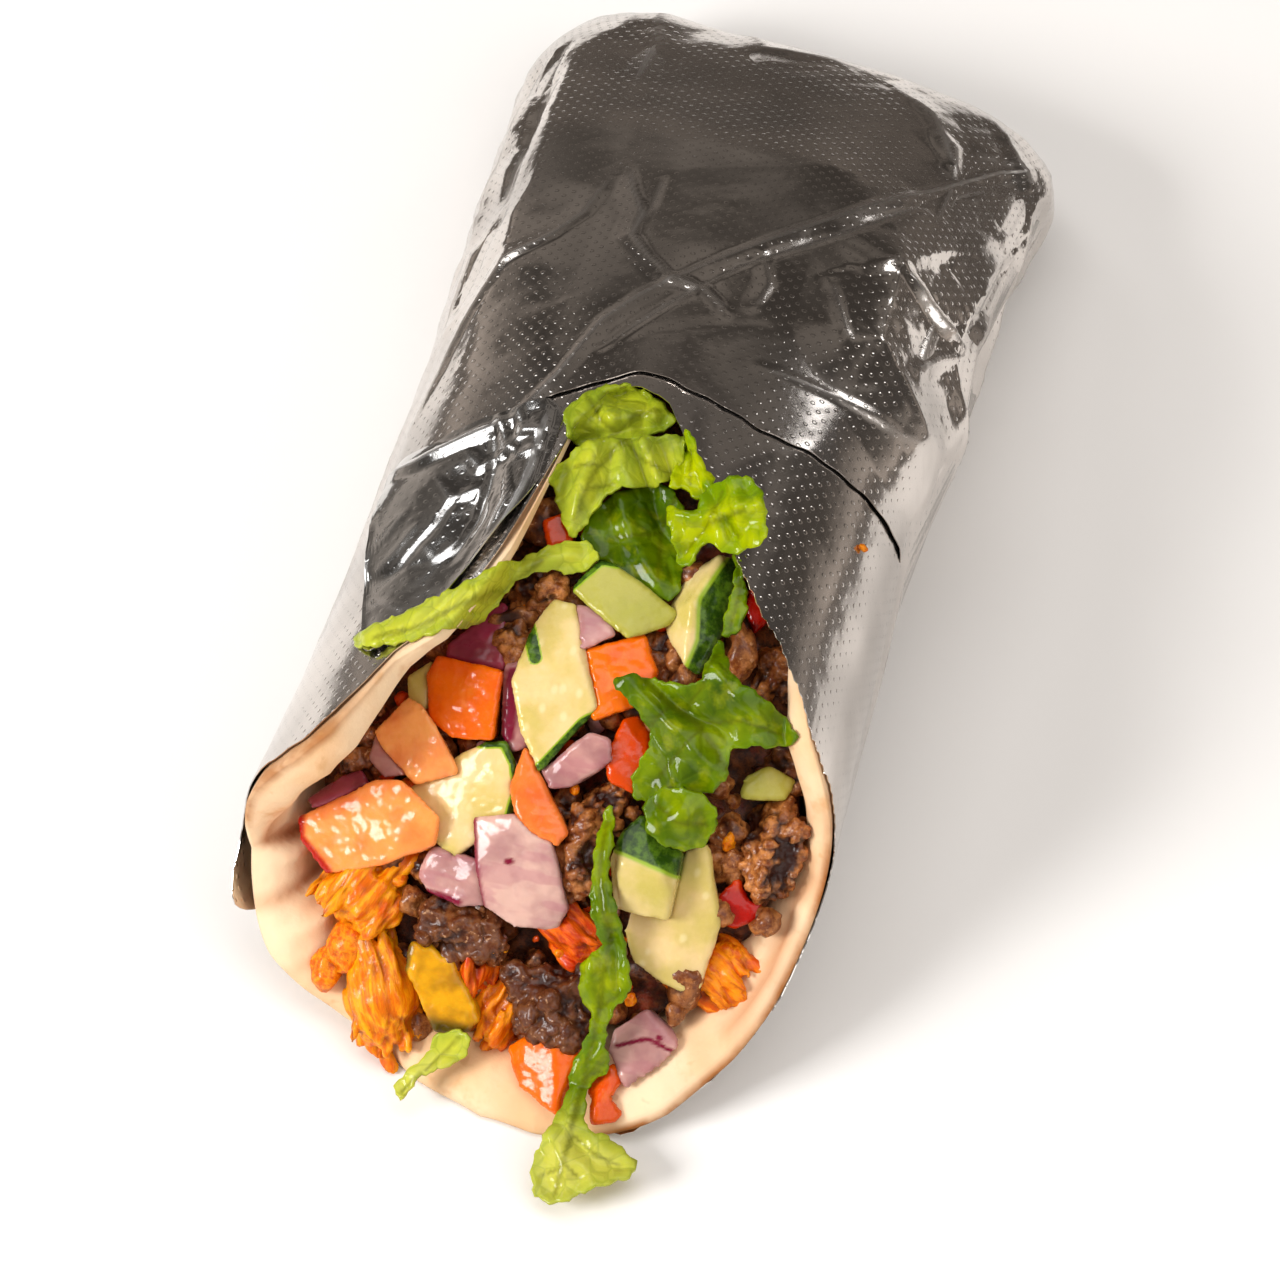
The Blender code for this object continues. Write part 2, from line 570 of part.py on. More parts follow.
def centre_on_base(objects):
    """Put the origin under the middle of the whole wrap, on the table."""
    corners = [vert.co for obj in objects for vert in obj.data.vertices]
    low = Vector(min(corner[i] for corner in corners) for i in range(3))
    high = Vector(max(corner[i] for corner in corners) for i in range(3))
    shift = Vector(((low.x + high.x) / 2, (low.y + high.y) / 2, low.z))
    for obj in objects:
        obj.data.transform(Matrix.Translation(-shift))


def all_pieces(collection):
    """Every topping in its place, before the pieces are cut clear of each other."""
    pieces = {}
    for name, thickness, stations in LETTUCE:
        pieces[name] = leaf(name, thickness, stations, collection)
        bake(pieces[name])
    for name, depth, shrink, corners in TOMATO + CUCUMBER + ONION + PEPPER:
        pieces[name] = chunk(name, depth, shrink, corners, collection)
    for name, middle, halves, turn in MEAT + CHICKEN:
        pieces[name] = lump(name, middle, halves, turn, collection)
    return pieces


def main():
    for obj in list(bpy.data.objects):
        bpy.data.objects.remove(obj)
    parts = bpy.data.collections.new("gyro_wrap")
    cutters = bpy.data.collections.new("cutters")
    bpy.context.scene.collection.children.link(parts)
    bpy.context.scene.collection.children.link(cutters)

    foil = cup("foil", FOIL_RIM, 0.0, FOIL_THICKNESS, FOIL_ROWS, 0.0, parts)
    sinks = COVER_LIFT + FOIL_THICKNESS / 2
    combine(foil, layer("cover", COVER, COVER_LIFT, sinks, cutters), "UNION")
    combine(foil, layer("flap", FLAP, FLAP_LIFT, 0.0, cutters), "UNION")
    pita = cup("pita", PITA_RIM, PITA_OUTER, PITA_OUTER + PITA_THICKNESS, PITA_ROWS, 1.0, parts)
    filling = filling_body("filling", FILLING_INSET, parts, cutters)
    for obj in (foil, pita, filling):
        clean(obj)

    rooms = []
    for obj in (foil, pita, filling):
        room = grown_copy(obj, GAP, cutters)
        rooms.append((room, tree_of(room)))
    pieces = all_pieces(parts)
    leaves = [name for name in pieces if name.startswith("lettuce")]
    behind = [name for name in pieces if name not in leaves and name not in FRONT_FIRST]
    for name in leaves + list(FRONT_FIRST) + behind:
        carve(pieces[name], rooms)
        clean(pieces[name])
        room = grown_copy(pieces[name], GAP, cutters)
        rooms.append((room, tree_of(room)))

    for obj in cutters.objects:
        obj.hide_render = True
        obj.display_type = "WIRE"
    bodies = [foil, pita, filling] + list(pieces.values())
    materials = {kind: material_for(kind) for kind in COLOURS}
    for obj in bodies:
        finish(obj, materials[obj.name.split("_")[0]])
    centre_on_base(bodies)


main()
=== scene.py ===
"""Looks of a gyro wrap: embossed foil, pita and every topping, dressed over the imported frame."""

import json
import math
import random

import bmesh
import bpy
import numpy as np
from mathutils import Matrix, Vector, geometry, noise
from mathutils.bvhtree import BVHTree

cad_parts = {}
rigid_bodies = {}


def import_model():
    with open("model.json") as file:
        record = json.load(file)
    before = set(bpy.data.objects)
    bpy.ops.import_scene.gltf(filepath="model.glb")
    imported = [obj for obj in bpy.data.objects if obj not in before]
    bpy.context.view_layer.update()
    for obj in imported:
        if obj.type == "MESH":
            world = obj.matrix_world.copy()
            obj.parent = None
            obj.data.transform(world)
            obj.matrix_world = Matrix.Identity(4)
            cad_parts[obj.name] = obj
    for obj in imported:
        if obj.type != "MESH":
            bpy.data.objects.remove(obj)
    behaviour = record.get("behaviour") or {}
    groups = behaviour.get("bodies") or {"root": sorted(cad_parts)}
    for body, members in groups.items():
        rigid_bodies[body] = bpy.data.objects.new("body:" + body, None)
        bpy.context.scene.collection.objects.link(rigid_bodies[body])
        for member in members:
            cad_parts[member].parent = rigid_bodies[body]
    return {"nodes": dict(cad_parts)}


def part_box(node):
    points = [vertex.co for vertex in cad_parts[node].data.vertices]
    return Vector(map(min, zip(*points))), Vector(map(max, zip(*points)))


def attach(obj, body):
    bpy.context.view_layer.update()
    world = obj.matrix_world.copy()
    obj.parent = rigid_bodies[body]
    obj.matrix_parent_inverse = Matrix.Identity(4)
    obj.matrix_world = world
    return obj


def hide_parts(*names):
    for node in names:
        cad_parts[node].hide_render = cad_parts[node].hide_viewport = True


for leftover in list(bpy.data.objects):
    bpy.data.objects.remove(leftover)
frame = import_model()
bpy.context.view_layer.update()

# Everything below is in millimetres, in the wrap's own frame, unless a name says otherwise.
MM = 0.001

# y, left half, right half, top, base
SECTIONS = (
    (-15, 42.5, 43.5, 62, -1.5), (20, 42.3, 43.5, 62, -1.5), (45, 40.5, 42.6, 62, -1.5),
    (60, 39.6, 41.6, 62, -1.5), (90, 40.2, 40.6, 61.5, -1.5), (120, 42, 40.6, 56, -1.5),
    (150, 44.6, 40.9, 46, -1.5), (170, 46, 41.8, 36, -1), (180, 46, 43, 31, 0.5), (190, 43, 38.5, 25, 3),
    (196, 40, 32, 19.5, 5), (200, 36, 26, 12.5, 7.5),
)
FOIL_END = 200
SKEW_START = 150
END_SKEW = -0.09
ROUNDNESS = 2.15
LEFT_BULGE = 1.7  # the open end belly out at the lower left by this much
MOUTH_TILT = math.radians(34)
MOUTH_HEIGHT = 2
MOUTH_LENGTH = 107
HEAP_HEIGHT = 12
HEAP_HALF_WIDTH = 44
LOWEST_HEAP_Z = 6
PITA_OUTER = 1.5
PITA_INNER = 5.4

# angle from the top, y of the edge
PITA_RIM = (
    (-180, -2), (-165, -1), (-145, 4.5), (-124, 11), (-104, 20), (-90, 19), (-75, 17.5), (-60, 17), (-53, 17.5),
    (-44, 21.5), (-38, 27.5), (-33, 34), (-25, 38), (-20, 45), (-16, 52), (-13, 66), (-12, 78), (-8, 88),
    (-2, 92), (4, 90), (9, 84), (16, 76), (27, 66), (36, 59), (51, 50), (60, 43), (77, 38), (96, 33), (104, 27),
    (115, 17), (127, 9.5), (142, 2.5), (158, -1.5), (170, -2.5), (180, -2),
)
FOIL_RIM = (
    (-180, 0), (-165, 1), (-145, 6.5), (-124, 13), (-104, 22.5), (-90, 21.5), (-75, 20), (-60, 19.5), (-50, 21),
    (-44, 25), (-38, 30), (-33, 36), (-27, 40), (-22, 45), (-18, 55), (-14, 70), (-11, 80), (-7, 87), (-2, 89),
    (4, 87), (9, 81.5), (16, 74), (27, 64), (36, 57.5), (51, 49.5), (60, 43.5), (77, 39), (96, 34), (104, 28.5),
    (115, 18.5), (127, 10.5), (142, 2), (152, -2.5), (160, -1.5), (170, -1), (180, 0),
)
# angle, front edge, back edge
COVER = (
    (-66, 74, 130), (-52, 71, 145), (-41, 75, 160), (-31, 77, 168), (-21, 83, 172), (-10, 88, 174), (-2, 91.5, 175),
    (6, 90.5, 175), (14, 89, 175), (24, 87.5, 174), (42, 87.5, 170), (58, 87, 160), (70, 86.5, 145), (80, 86, 130),
)
FLAP = (
    (-58, 66, 75), (-53, 58, 75), (-47, 45, 76), (-41, 36, 78), (-34, 37.5, 80), (-29, 41, 81), (-24, 47.5, 82.5),
    (-20, 55, 83.5), (-17, 62.5, 83), (-14.5, 70, 80.5),
)
# Fold lines in the foil: route (angle, y), height, fall to the left of the route, fall to its right
CREASES = (
    # the long double fold from the left of the mouth to the right rear corner
    (((-26, 80), (-19, 89), (-14, 101), (-8, 108), (-2, 114), (6, 123), (21, 138), (40, 158), (54, 174), (70, 184)),
     0.5, 1.3, 2.4),
    (((-12, 95), (0, 110.5), (7, 119.5), (24, 134.5), (42, 154.5), (58, 171)), -0.4, 1.2, 1.2),
    (((30, 128), (41, 136), (56, 148), (72, 161)), 0.9, 9.0, 3.0),
    # small folds beside it
    (((-22, 140), (-19, 134), (-15, 128), (-15, 122), (-10, 117), (-4, 113)), 0.7, 1.2, 3.2),
    (((-14, 138), (-14, 130), (-15, 124)), -0.4, 1.0, 1.0),
    (((-6, 113), (2, 112), (8, 108)), 0.45, 1.4, 1.8),
    (((10, 124), (14, 117), (13, 111)), 0.4, 1.2, 2.4),
    (((26, 122), (30, 116), (34, 111)), 0.4, 1.2, 1.6),
    (((-25, 138), (-28, 127), (-33, 121), (-36, 119), (-44, 115), (-50, 106), (-56, 97), (-62, 84)), 0.5, 1.4, 3.0),
    (((19, 99), (38, 100), (57, 101), (66, 103)), 0.3, 1.6, 1.2),
    # left shoulder: ridges and a groove along it
    (((-42, 190), (-49, 177), (-48, 162), (-45, 148), (-43, 135), (-46, 127), (-44, 114), (-47, 104)), 2.4, 13.0, 12.0),
    (((-55, 168), (-56, 156), (-55, 146), (-55, 134)), -1.5, 3.2, 1.8),
    (((-57, 180), (-60, 172), (-59, 164)), -1.1, 2.4, 1.6),
    (((-64, 176), (-66, 158), (-68, 140), (-66, 124)), 1.0, 4.0, 3.0),
    (((-52, 128), (-58, 120), (-60, 110)), -0.9, 1.8, 2.2),
    (((-62, 124), (-66, 116), (-65, 106)), 0.9, 2.0, 2.6),
    # right shoulder: a pale triangle between two dark tucks
    (((35, 142), (39, 130), (41, 114), (50, 110), (64, 104.5), (72, 105), (92, 110)), 2.8, 15.0, 13.0),
    (((40, 132), (48, 129.5), (58, 128), (68, 128), (76, 130)), 1.3, 2.0, 2.0),
    (((74, 156), (69, 145), (66, 134), (69, 127)), 2.6, 3.0, 9.0),
    (((54, 114), (61, 121), (73, 129)), 1.3, 2.0, 2.6),
    (((67, 124), (76, 117), (88, 110)), 2.6, 2.6, 8.0),
    (((78, 160), (82, 148), (80, 134), (86, 122)), 1.2, 3.0, 3.0),
    (((20, 186), (28, 181), (33, 175), (40, 168)), 1.1, 5.0, 2.0),
    (((30, 176), (38, 173), (44, 164)), 0.6, 2.0, 4.0),
    (((48, 190), (56, 180), (66, 176)), 1.0, 3.0, 3.0),
    (((74, 172), (86, 158), (92, 142), (96, 120)), 1.5, 4.0, 4.0),
    # below and behind
    (((96, 178), (108, 160), (104, 138), (112, 118)), 1.2, 4.0, 4.0),
    (((78, 100), (88, 84), (96, 66), (100, 48)), 0.6, 3.0, 3.0),
    (((-74, 92), (-80, 76), (-78, 58), (-84, 40)), 0.6, 3.0, 3.0),
    (((-90, 186), (-98, 168), (-94, 148), (-104, 128)), 1.3, 4.0, 4.0),
    (((-41, 196), (-34, 186), (-30, 181)), 1.0, 3.0, 3.0),
    (((-18, 196), (-10, 188), (4, 192)), 0.7, 3.0, 3.0),
    (((-130, 190), (-138, 160), (-128, 130), (-140, 100)), 0.8, 4.0, 4.0),
    (((132, 192), (126, 164), (140, 138), (128, 112)), 0.8, 4.0, 4.0),
)
FLAP_CREASES = (
    (((-58, 76), (-56, 66), (-54, 58), (-49, 48)), 2.6, 17.0, 2.0),
    (((-23, 48), (-18.5, 58), (-17, 67), (-18, 82)), 1.1, 5.0, 1.0),
    (((-30, 80), (-25, 74), (-21, 72), (-17, 73)), 0.5, 1.6, 0.9),
    (((-26, 82), (-22, 77), (-17, 77)), 0.45, 1.2, 1.4),
    (((-23, 70), (-20, 64), (-21, 56)), 0.4, 1.3, 0.8),
    (((-29, 76), (-26, 69), (-25, 60), (-27, 52)), -0.4, 1.4, 1.2),
    (((-58, 71), (-48, 72), (-38, 75.5), (-28, 79)), 0.7, 1.4, 2.4),
    (((-54, 52), (-48, 57), (-45, 62)), 0.16, 0.9, 1.3),
    (((-47, 50), (-43, 54), (-40, 59)), 0.16, 0.9, 1.2),
    (((-46, 47), (-40, 51), (-35, 58), (-32, 66)), -0.18, 1.0, 1.2),
    (((-40, 68), (-34, 64), (-28, 66), (-23, 62)), 0.18, 1.6, 1.8),
    (((-36, 74), (-30, 70), (-25, 73), (-21, 78)), 0.3, 1.6, 1.6),
    (((-38, 56), (-32, 52), (-27, 56)), 0.16, 1.6, 1.6),
    (((-46, 44), (-40, 44), (-34, 42)), 0.2, 1.6, 2.2),
)

CAMERA_AZIMUTH = math.radians(15.5)
CAMERA_ELEVATION = math.radians(53)
CAMERA_DISTANCE = 900
CAMERA_TARGET = Vector((0, 92, 28))
CAMERA_AIM = (-2.3, -20.3)  # right and up from the target, so that the wrap stands where it should in the frame
CAMERA_LENS = 164.5

SKY_DARK = (0.046, 0.04, 0.035)
SKY_GREY = (0.178, 0.158, 0.14)
SKY_CLOUDS = 5.0
SKY_FRONT = (0.38, 0.35, 0.32)
SKY_PALE = (0.5, 0.44, 0.39)
SKY_LOW, SKY_HIGH = 0.0, 0.34  # heights of direction between which the pale horizon fades


# ---------------------------------------------------------------- form of the wrap

def smooth_columns(table, at):
    """Smooth values of a table's columns at places along its first column."""
    table = np.array(table, float)
    at = np.clip(np.asarray(at, float), table[0, 0], table[-1, 0])
    last = len(table) - 1
    index = np.clip(np.searchsorted(table[:, 0], at, side="right") - 1, 0, last - 1)
    before = table[np.maximum(index - 1, 0)]
    start = table[index]
    end = table[index + 1]
    after = table[np.minimum(index + 2, last)]
    span = end[..., 0] - start[..., 0]
    s = (at - start[..., 0]) / span
    columns = []
    for k in range(1, table.shape[1]):
        leave = (end[..., k] - before[..., k]) / (end[..., 0] - before[..., 0]) * span
        arrive = (after[..., k] - start[..., k]) / (after[..., 0] - start[..., 0]) * span
        columns.append(start[..., k] * (1 + 2 * s) * (1 - s) ** 2 + leave * s * (1 - s) ** 2
                       + end[..., k] * s * s * (3 - 2 * s) + arrive * s * s * (s - 1))
    return columns


def column(table, at, number=1):
    """Straight-line value of one of a table's columns."""
    return np.interp(at, [row[0] for row in table], [row[number] for row in table])


def swell(value):
    return np.sign(value) * np.abs(value) ** (2 / ROUNDNESS)


def wrap_points(angle, y, inset):
    """Points on the wrap at angles from its top, at depths under the foil's outer face."""
    angle, y, inset = np.broadcast_arrays(angle, y, inset)
    inset = inset - LEFT_BULGE * np.exp(-((angle + 112) / 20) ** 2) * np.clip((46 - y) / 22, 0, 1) ** 1.5
    left, right, top, base = smooth_columns(SECTIONS, y)
    turn = np.radians(angle)
    half = np.where(turn > 0, right, left) - inset
    low = base + inset
    high = top - inset
    x = half * swell(np.sin(turn))
    z = (low + high) / 2 + (high - low) / 2 * swell(np.cos(turn))
    skew = END_SKEW * np.clip((y - SKEW_START) / (FOIL_END - SKEW_START), 0, 1)
    return np.stack((x, y + skew * x, np.maximum(z, np.maximum(inset, 0))), axis=-1)


def frame_shift():
    """Where the wrap's own zero lies in the row frame, from the far corner of the foil's solid."""
    low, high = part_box("foil")
    end = wrap_points(-90, FOIL_END, 0)[1]
    widest = wrap_points(-90, np.array((163.0, 174.0, 181.0)), 0)[:, 0].min()
    return Vector((widest - low.x / MM, end - high.y / MM, 0))


SHIFT = frame_shift()
ARC_ANGLES = np.linspace(-180, 180, 721)
ARC_STEPS = np.linalg.norm(np.diff(wrap_points(ARC_ANGLES, 100, 0), axis=0), axis=1)
ARC = np.concatenate(((0,), np.cumsum(ARC_STEPS)))
ARC -= ARC[360]


def arc_of(angle):
    """Way round the foil from its top, at an angle."""
    return np.interp(angle, ARC_ANGLES, ARC)


def angle_of(arc):
    return np.interp(arc, ARC, ARC_ANGLES)


def heap_height(u, v):
    """Usual height of the filling above the plane of the mouth."""
    rise = HEAP_HEIGHT * math.sin(math.pi * min(max(v / MOUTH_LENGTH, 0.0), 1.0)) ** 0.8
    return rise * (1 - (0.55 if u > 0 else 0.3) * (u / HEAP_HALF_WIDTH) ** 2)


def mouth_point(u, v, w):
    """Point in the mouth: across, up its open face, and out of it."""
    y = v * math.cos(MOUTH_TILT) - w * math.sin(MOUTH_TILT)
    z = MOUTH_HEIGHT + v * math.sin(MOUTH_TILT) + w * math.cos(MOUTH_TILT)
    return Vector((u, y, z))


def heap_point(u, v, lift):
    """Point at a lift over the heap, which never sinks to the table in front of the lip."""
    lowest = (LOWEST_HEAP_Z - MOUTH_HEIGHT - v * math.sin(MOUTH_TILT)) / math.cos(MOUTH_TILT)
    return mouth_point(u, v, max(heap_height(u, v), lowest) + lift)


def mouth_places(points):
    """Across, up and out of the mouth for points of the wrap's frame."""
    points = np.asarray(points)
    z = points[:, 2] - MOUTH_HEIGHT
    v = points[:, 1] * math.cos(MOUTH_TILT) + z * math.sin(MOUTH_TILT)
    w = z * math.cos(MOUTH_TILT) - points[:, 1] * math.sin(MOUTH_TILT)
    return points[:, 0], v, w


# ---------------------------------------------------------------- meshes

def new_object(name, points, faces, material):
    """Smooth-shaded object from points in millimetres."""
    mesh = bpy.data.meshes.new(name)
    mesh.from_pydata(((np.asarray(points) - SHIFT) * MM).tolist(), [], faces)
    mesh.validate()
    mesh.shade_smooth()
    mesh.materials.append(material)
    obj = bpy.data.objects.new(name, mesh)
    bpy.context.scene.collection.objects.link(obj)
    return obj


def places(obj):
    """Points of an object, in millimetres of the wrap's frame."""
    values = np.empty(len(obj.data.vertices) * 3)
    obj.data.vertices.foreach_get("co", values)
    return values.reshape(-1, 3) / MM + np.array(SHIFT)


def move_to(obj, points):
    obj.data.vertices.foreach_set("co", ((points - np.array(SHIFT)) * MM).ravel())
    obj.data.update()


def normals(obj):
    values = np.empty(len(obj.data.vertices) * 3, dtype=np.float32)
    obj.data.vertex_normals.foreach_get("vector", values)
    return values.reshape(-1, 3).astype(float)


def paint(obj, name, values):
    """Store a number for each point, for the material to read."""
    layer = obj.data.attributes.get(name) or obj.data.attributes.new(name, "FLOAT", "POINT")
    layer.data.foreach_set("value", np.broadcast_to(values, len(obj.data.vertices)).astype(np.float32).copy())


def paint_vector(obj, name, values):
    layer = obj.data.attributes.new(name, "FLOAT_VECTOR", "POINT")
    layer.data.foreach_set("vector", np.asarray(values, dtype=np.float32).ravel())


def ring_faces(rings, columns, closed):
    """Quads between rows of points, and the number of points they use."""
    faces = []
    across = columns if closed else columns - 1
    for j in range(rings - 1):
        for i in range(across):
            k = (i + 1) % columns
            faces.append((j * columns + i, j * columns + k, (j + 1) * columns + k, (j + 1) * columns + i))
    return faces


def tube_object(name, rings, material):
    """Closed body through a run of rings of points, with a fan over each end."""
    columns = len(rings[0])
    points = np.concatenate(rings)
    faces = ring_faces(len(rings), columns, True)
    ends = (rings[0].mean(axis=0), rings[-1].mean(axis=0))
    first = len(points)
    points = np.concatenate((points, ends))
    last_ring = (len(rings) - 1) * columns
    for i in range(columns):
        k = (i + 1) % columns
        faces.append((k, i, first))
        faces.append((last_ring + i, last_ring + k, first + 1))
    obj = new_object(name, points, faces, material)
    face_out(obj)
    return obj


def face_out(obj):
    bm = bmesh.new()
    bm.from_mesh(obj.data)
    bmesh.ops.recalc_face_normals(bm, faces=bm.faces)
    bm.to_mesh(obj.data)
    bm.free()


def apply_modifiers(obj):
    """Keep an object's modified shape as its mesh."""
    bpy.context.view_layer.update()
    evaluated = obj.evaluated_get(bpy.context.evaluated_depsgraph_get())
    result = bpy.data.meshes.new_from_object(evaluated)
    old = obj.data
    obj.modifiers.clear()
    obj.data = result
    bpy.data.meshes.remove(old)
    result.shade_smooth()


def soften(obj, voxel, rounds):
    """Rebuild a body in even small faces, with its edges rounded off."""
    remesh = obj.modifiers.new("remesh", "REMESH")
    remesh.mode = "VOXEL"
    remesh.voxel_size = voxel * MM
    smooth = obj.modifiers.new("smooth", "SMOOTH")
    smooth.factor = 0.5
    smooth.iterations = rounds
    apply_modifiers(obj)


def copy_of(node, name, material):
    """A new object with a copy of a CAD solid's mesh."""
    mesh = frame["nodes"][node].data.copy()
    mesh.materials.clear()
    mesh.materials.append(material)
    obj = bpy.data.objects.new(name, mesh)
    bpy.context.scene.collection.objects.link(obj)
    return obj


def dress(obj, slot, *nodes):
    """Ride on the wrap and stand for CAD solids."""
    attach(obj, "root")
    if nodes:
        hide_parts(*nodes)
    return obj


def rough(points, size, seed=0.0, octaves=3):
    """Smooth noise from about -1 to 1 at each point, with features of a size."""
    offset = Vector((seed * 7.3, seed * 3.1, -seed * 5.7))
    values = np.empty(len(points))
    for i, point in enumerate(points):
        place = Vector(point) / size + offset
        values[i] = noise.fractal(place, 1.0, 2.0, octaves, noise_basis="PERLIN_ORIGINAL")
    return values


def near_route(a, b, route):
    """Distance to a route of points, with its sign by the side, and the share along it."""
    best = np.full(np.shape(a), 1e9)
    side = np.ones(np.shape(a))
    along = np.zeros(np.shape(a))
    lengths = [math.dist(start, end) for start, end in zip(route, route[1:])]
    whole = sum(lengths)
    done = 0.0
    for (start, end), length in zip(zip(route, route[1:]), lengths):
        run_a = (end[0] - start[0]) / length
        run_b = (end[1] - start[1]) / length
        reach = np.clip((a - start[0]) * run_a + (b - start[1]) * run_b, 0, length)
        off_a = a - start[0] - run_a * reach
        off_b = b - start[1] - run_b * reach
        distance = np.hypot(off_a, off_b)
        closer = distance < best
        best = np.where(closer, distance, best)
        side = np.where(closer, np.sign(run_a * off_b - run_b * off_a), side)
        along = np.where(closer, (done + reach) / whole, along)
        done += length
    return best, side, along


def step(value, low, high):
    """0 below low, 1 above high, smooth between."""
    share = np.clip((value - low) / (high - low), 0, 1)
    return share * share * (3 - 2 * share)


# ---------------------------------------------------------------- materials

def linear(colour):
    """Scene colour from an 8-bit colour."""
    values = [channel / 255 for channel in colour]
    return tuple(v / 12.92 if v <= 0.04045 else ((v + 0.055) / 1.055) ** 2.4 for v in values) + (1.0,)


class Finish:
    """A material under construction."""

    def __init__(self, name, **constants):
        self.material = bpy.data.materials.new(name)
        self.material.use_nodes = True
        self.nodes = self.material.node_tree.nodes
        self.links = self.material.node_tree.links
        self.shader = self.nodes["Principled BSDF"]
        for key, value in constants.items():
            self.shader.inputs[key.replace("_", " ")].default_value = value
        self.place = self.nodes.new("ShaderNodeTexCoord").outputs["Object"]

    def node(self, kind, **settings):
        made = self.nodes.new("ShaderNode" + kind)
        for key, value in settings.items():
            setattr(made, key, value)
        return made

    def link(self, source, target):
        if isinstance(source, (int, float)):
            target.default_value = source
        else:
            self.links.new(source, target)

    def attribute(self, name, output="Fac"):
        return self.node("Attribute", attribute_name=name).outputs[output]

    def noise(self, size_mm, detail=3.0, roughness=0.5, vector=None, distortion=0.0):
        made = self.node("TexNoise")
        made.inputs["Scale"].default_value = 1000 / size_mm
        made.inputs["Detail"].default_value = detail
        made.inputs["Roughness"].default_value = roughness
        made.inputs["Distortion"].default_value = distortion
        self.link(vector or self.place, made.inputs["Vector"])
        return made.outputs["Fac"]

    def cells(self, size_mm, vector=None, feature="F1", randomness=1.0):
        made = self.node("TexVoronoi", feature=feature)
        made.inputs["Scale"].default_value = 1000 / size_mm
        made.inputs["Randomness"].default_value = randomness
        self.link(vector or self.place, made.inputs["Vector"])
        return made.outputs["Distance"]

    def span(self, value, low, high, to_low=0.0, to_high=1.0):
        made = self.node("MapRange", interpolation_type="SMOOTHSTEP")
        self.link(value, made.inputs["Value"])
        made.inputs["From Min"].default_value = low
        made.inputs["From Max"].default_value = high
        made.inputs["To Min"].default_value = to_low
        made.inputs["To Max"].default_value = to_high
        return made.outputs["Result"]

    def math(self, operation, first, second):
        made = self.node("Math", operation=operation)
        self.link(first, made.inputs[0])
        self.link(second, made.inputs[1])
        return made.outputs[0]

    def mix(self, share, first, second, blend_type="MIX"):
        """Mix two colours, each an 8-bit colour or a socket."""
        made = self.node("Mix", data_type="RGBA", blend_type=blend_type)
        self.link(share, made.inputs["Factor"])
        for colour, socket in ((first, made.inputs["A"]), (second, made.inputs["B"])):
            if isinstance(colour, tuple):
                socket.default_value = linear(colour)
            else:
                self.link(colour, socket)
        return made.outputs["Result"]

    def stretched(self, scale, turn=(0, 0, 0), vector=None):
        made = self.node("Mapping")
        made.inputs["Scale"].default_value = scale
        made.inputs["Rotation"].default_value = turn
        self.link(vector or self.place, made.inputs["Vector"])
        return made.outputs["Vector"]

    def bump(self, height, depth_mm, strength=1.0, normal=None):
        made = self.node("Bump")
        made.inputs["Strength"].default_value = strength
        made.inputs["Distance"].default_value = depth_mm * MM
        self.link(height, made.inputs["Height"])
        if normal:
            self.links.new(normal, made.inputs["Normal"])
        return made.outputs["Normal"]

    def done(self, colour=None, roughness=None, normal=None):
        if colour is not None:
            self.links.new(colour, self.shader.inputs["Base Color"])
        if roughness is not None:
            self.links.new(roughness, self.shader.inputs["Roughness"])
        if normal is not None:
            self.links.new(normal, self.shader.inputs["Normal"])
        return self.material


DOT_PITCH = 1.62


def foil_finish(name, shade, gloss, dot_height):
    """Aluminium foil with rows of small pressed dots, fine wrinkles and a greasy bloom."""
    f = Finish(name, Metallic=1.0)
    sheet = f.attribute("sheet", "Vector")
    turned = f.stretched((1 / DOT_PITCH / 1.1, 1 / DOT_PITCH, 1.0), (0, 0, math.radians(45)), sheet)
    dots = f.node("TexVoronoi", voronoi_dimensions="2D")
    dots.inputs["Scale"].default_value = 1.0
    dots.inputs["Randomness"].default_value = 0.0
    f.link(turned, dots.inputs["Vector"])
    dot = f.span(dots.outputs["Distance"], 0.12, 0.25, 1.0, 0.0)
    fold = f.attribute("fold")
    fine = f.noise(1.6, 4.0, 0.6)
    wrinkle = f.noise(7.0, 3.0, 0.55, f.stretched((1.0, 0.35, 1.0), (0, 0, 0.5)))
    cloud = f.noise(22.0, 3.0)
    tone = f.mix(f.span(cloud, 0.35, 0.7), shade, tuple(int(c * 0.86) for c in shade))
    normal = f.bump(wrinkle, 0.2, 0.45)
    normal = f.bump(fine, 0.03, 0.5, normal)
    normal = f.bump(dot, dot_height, 1.0, normal)
    low, high = gloss
    dull = f.math("MULTIPLY", fold, 0.32)
    return f.done(tone, f.math("ADD", f.span(cloud, 0.3, 0.75, low, high), dull), normal)


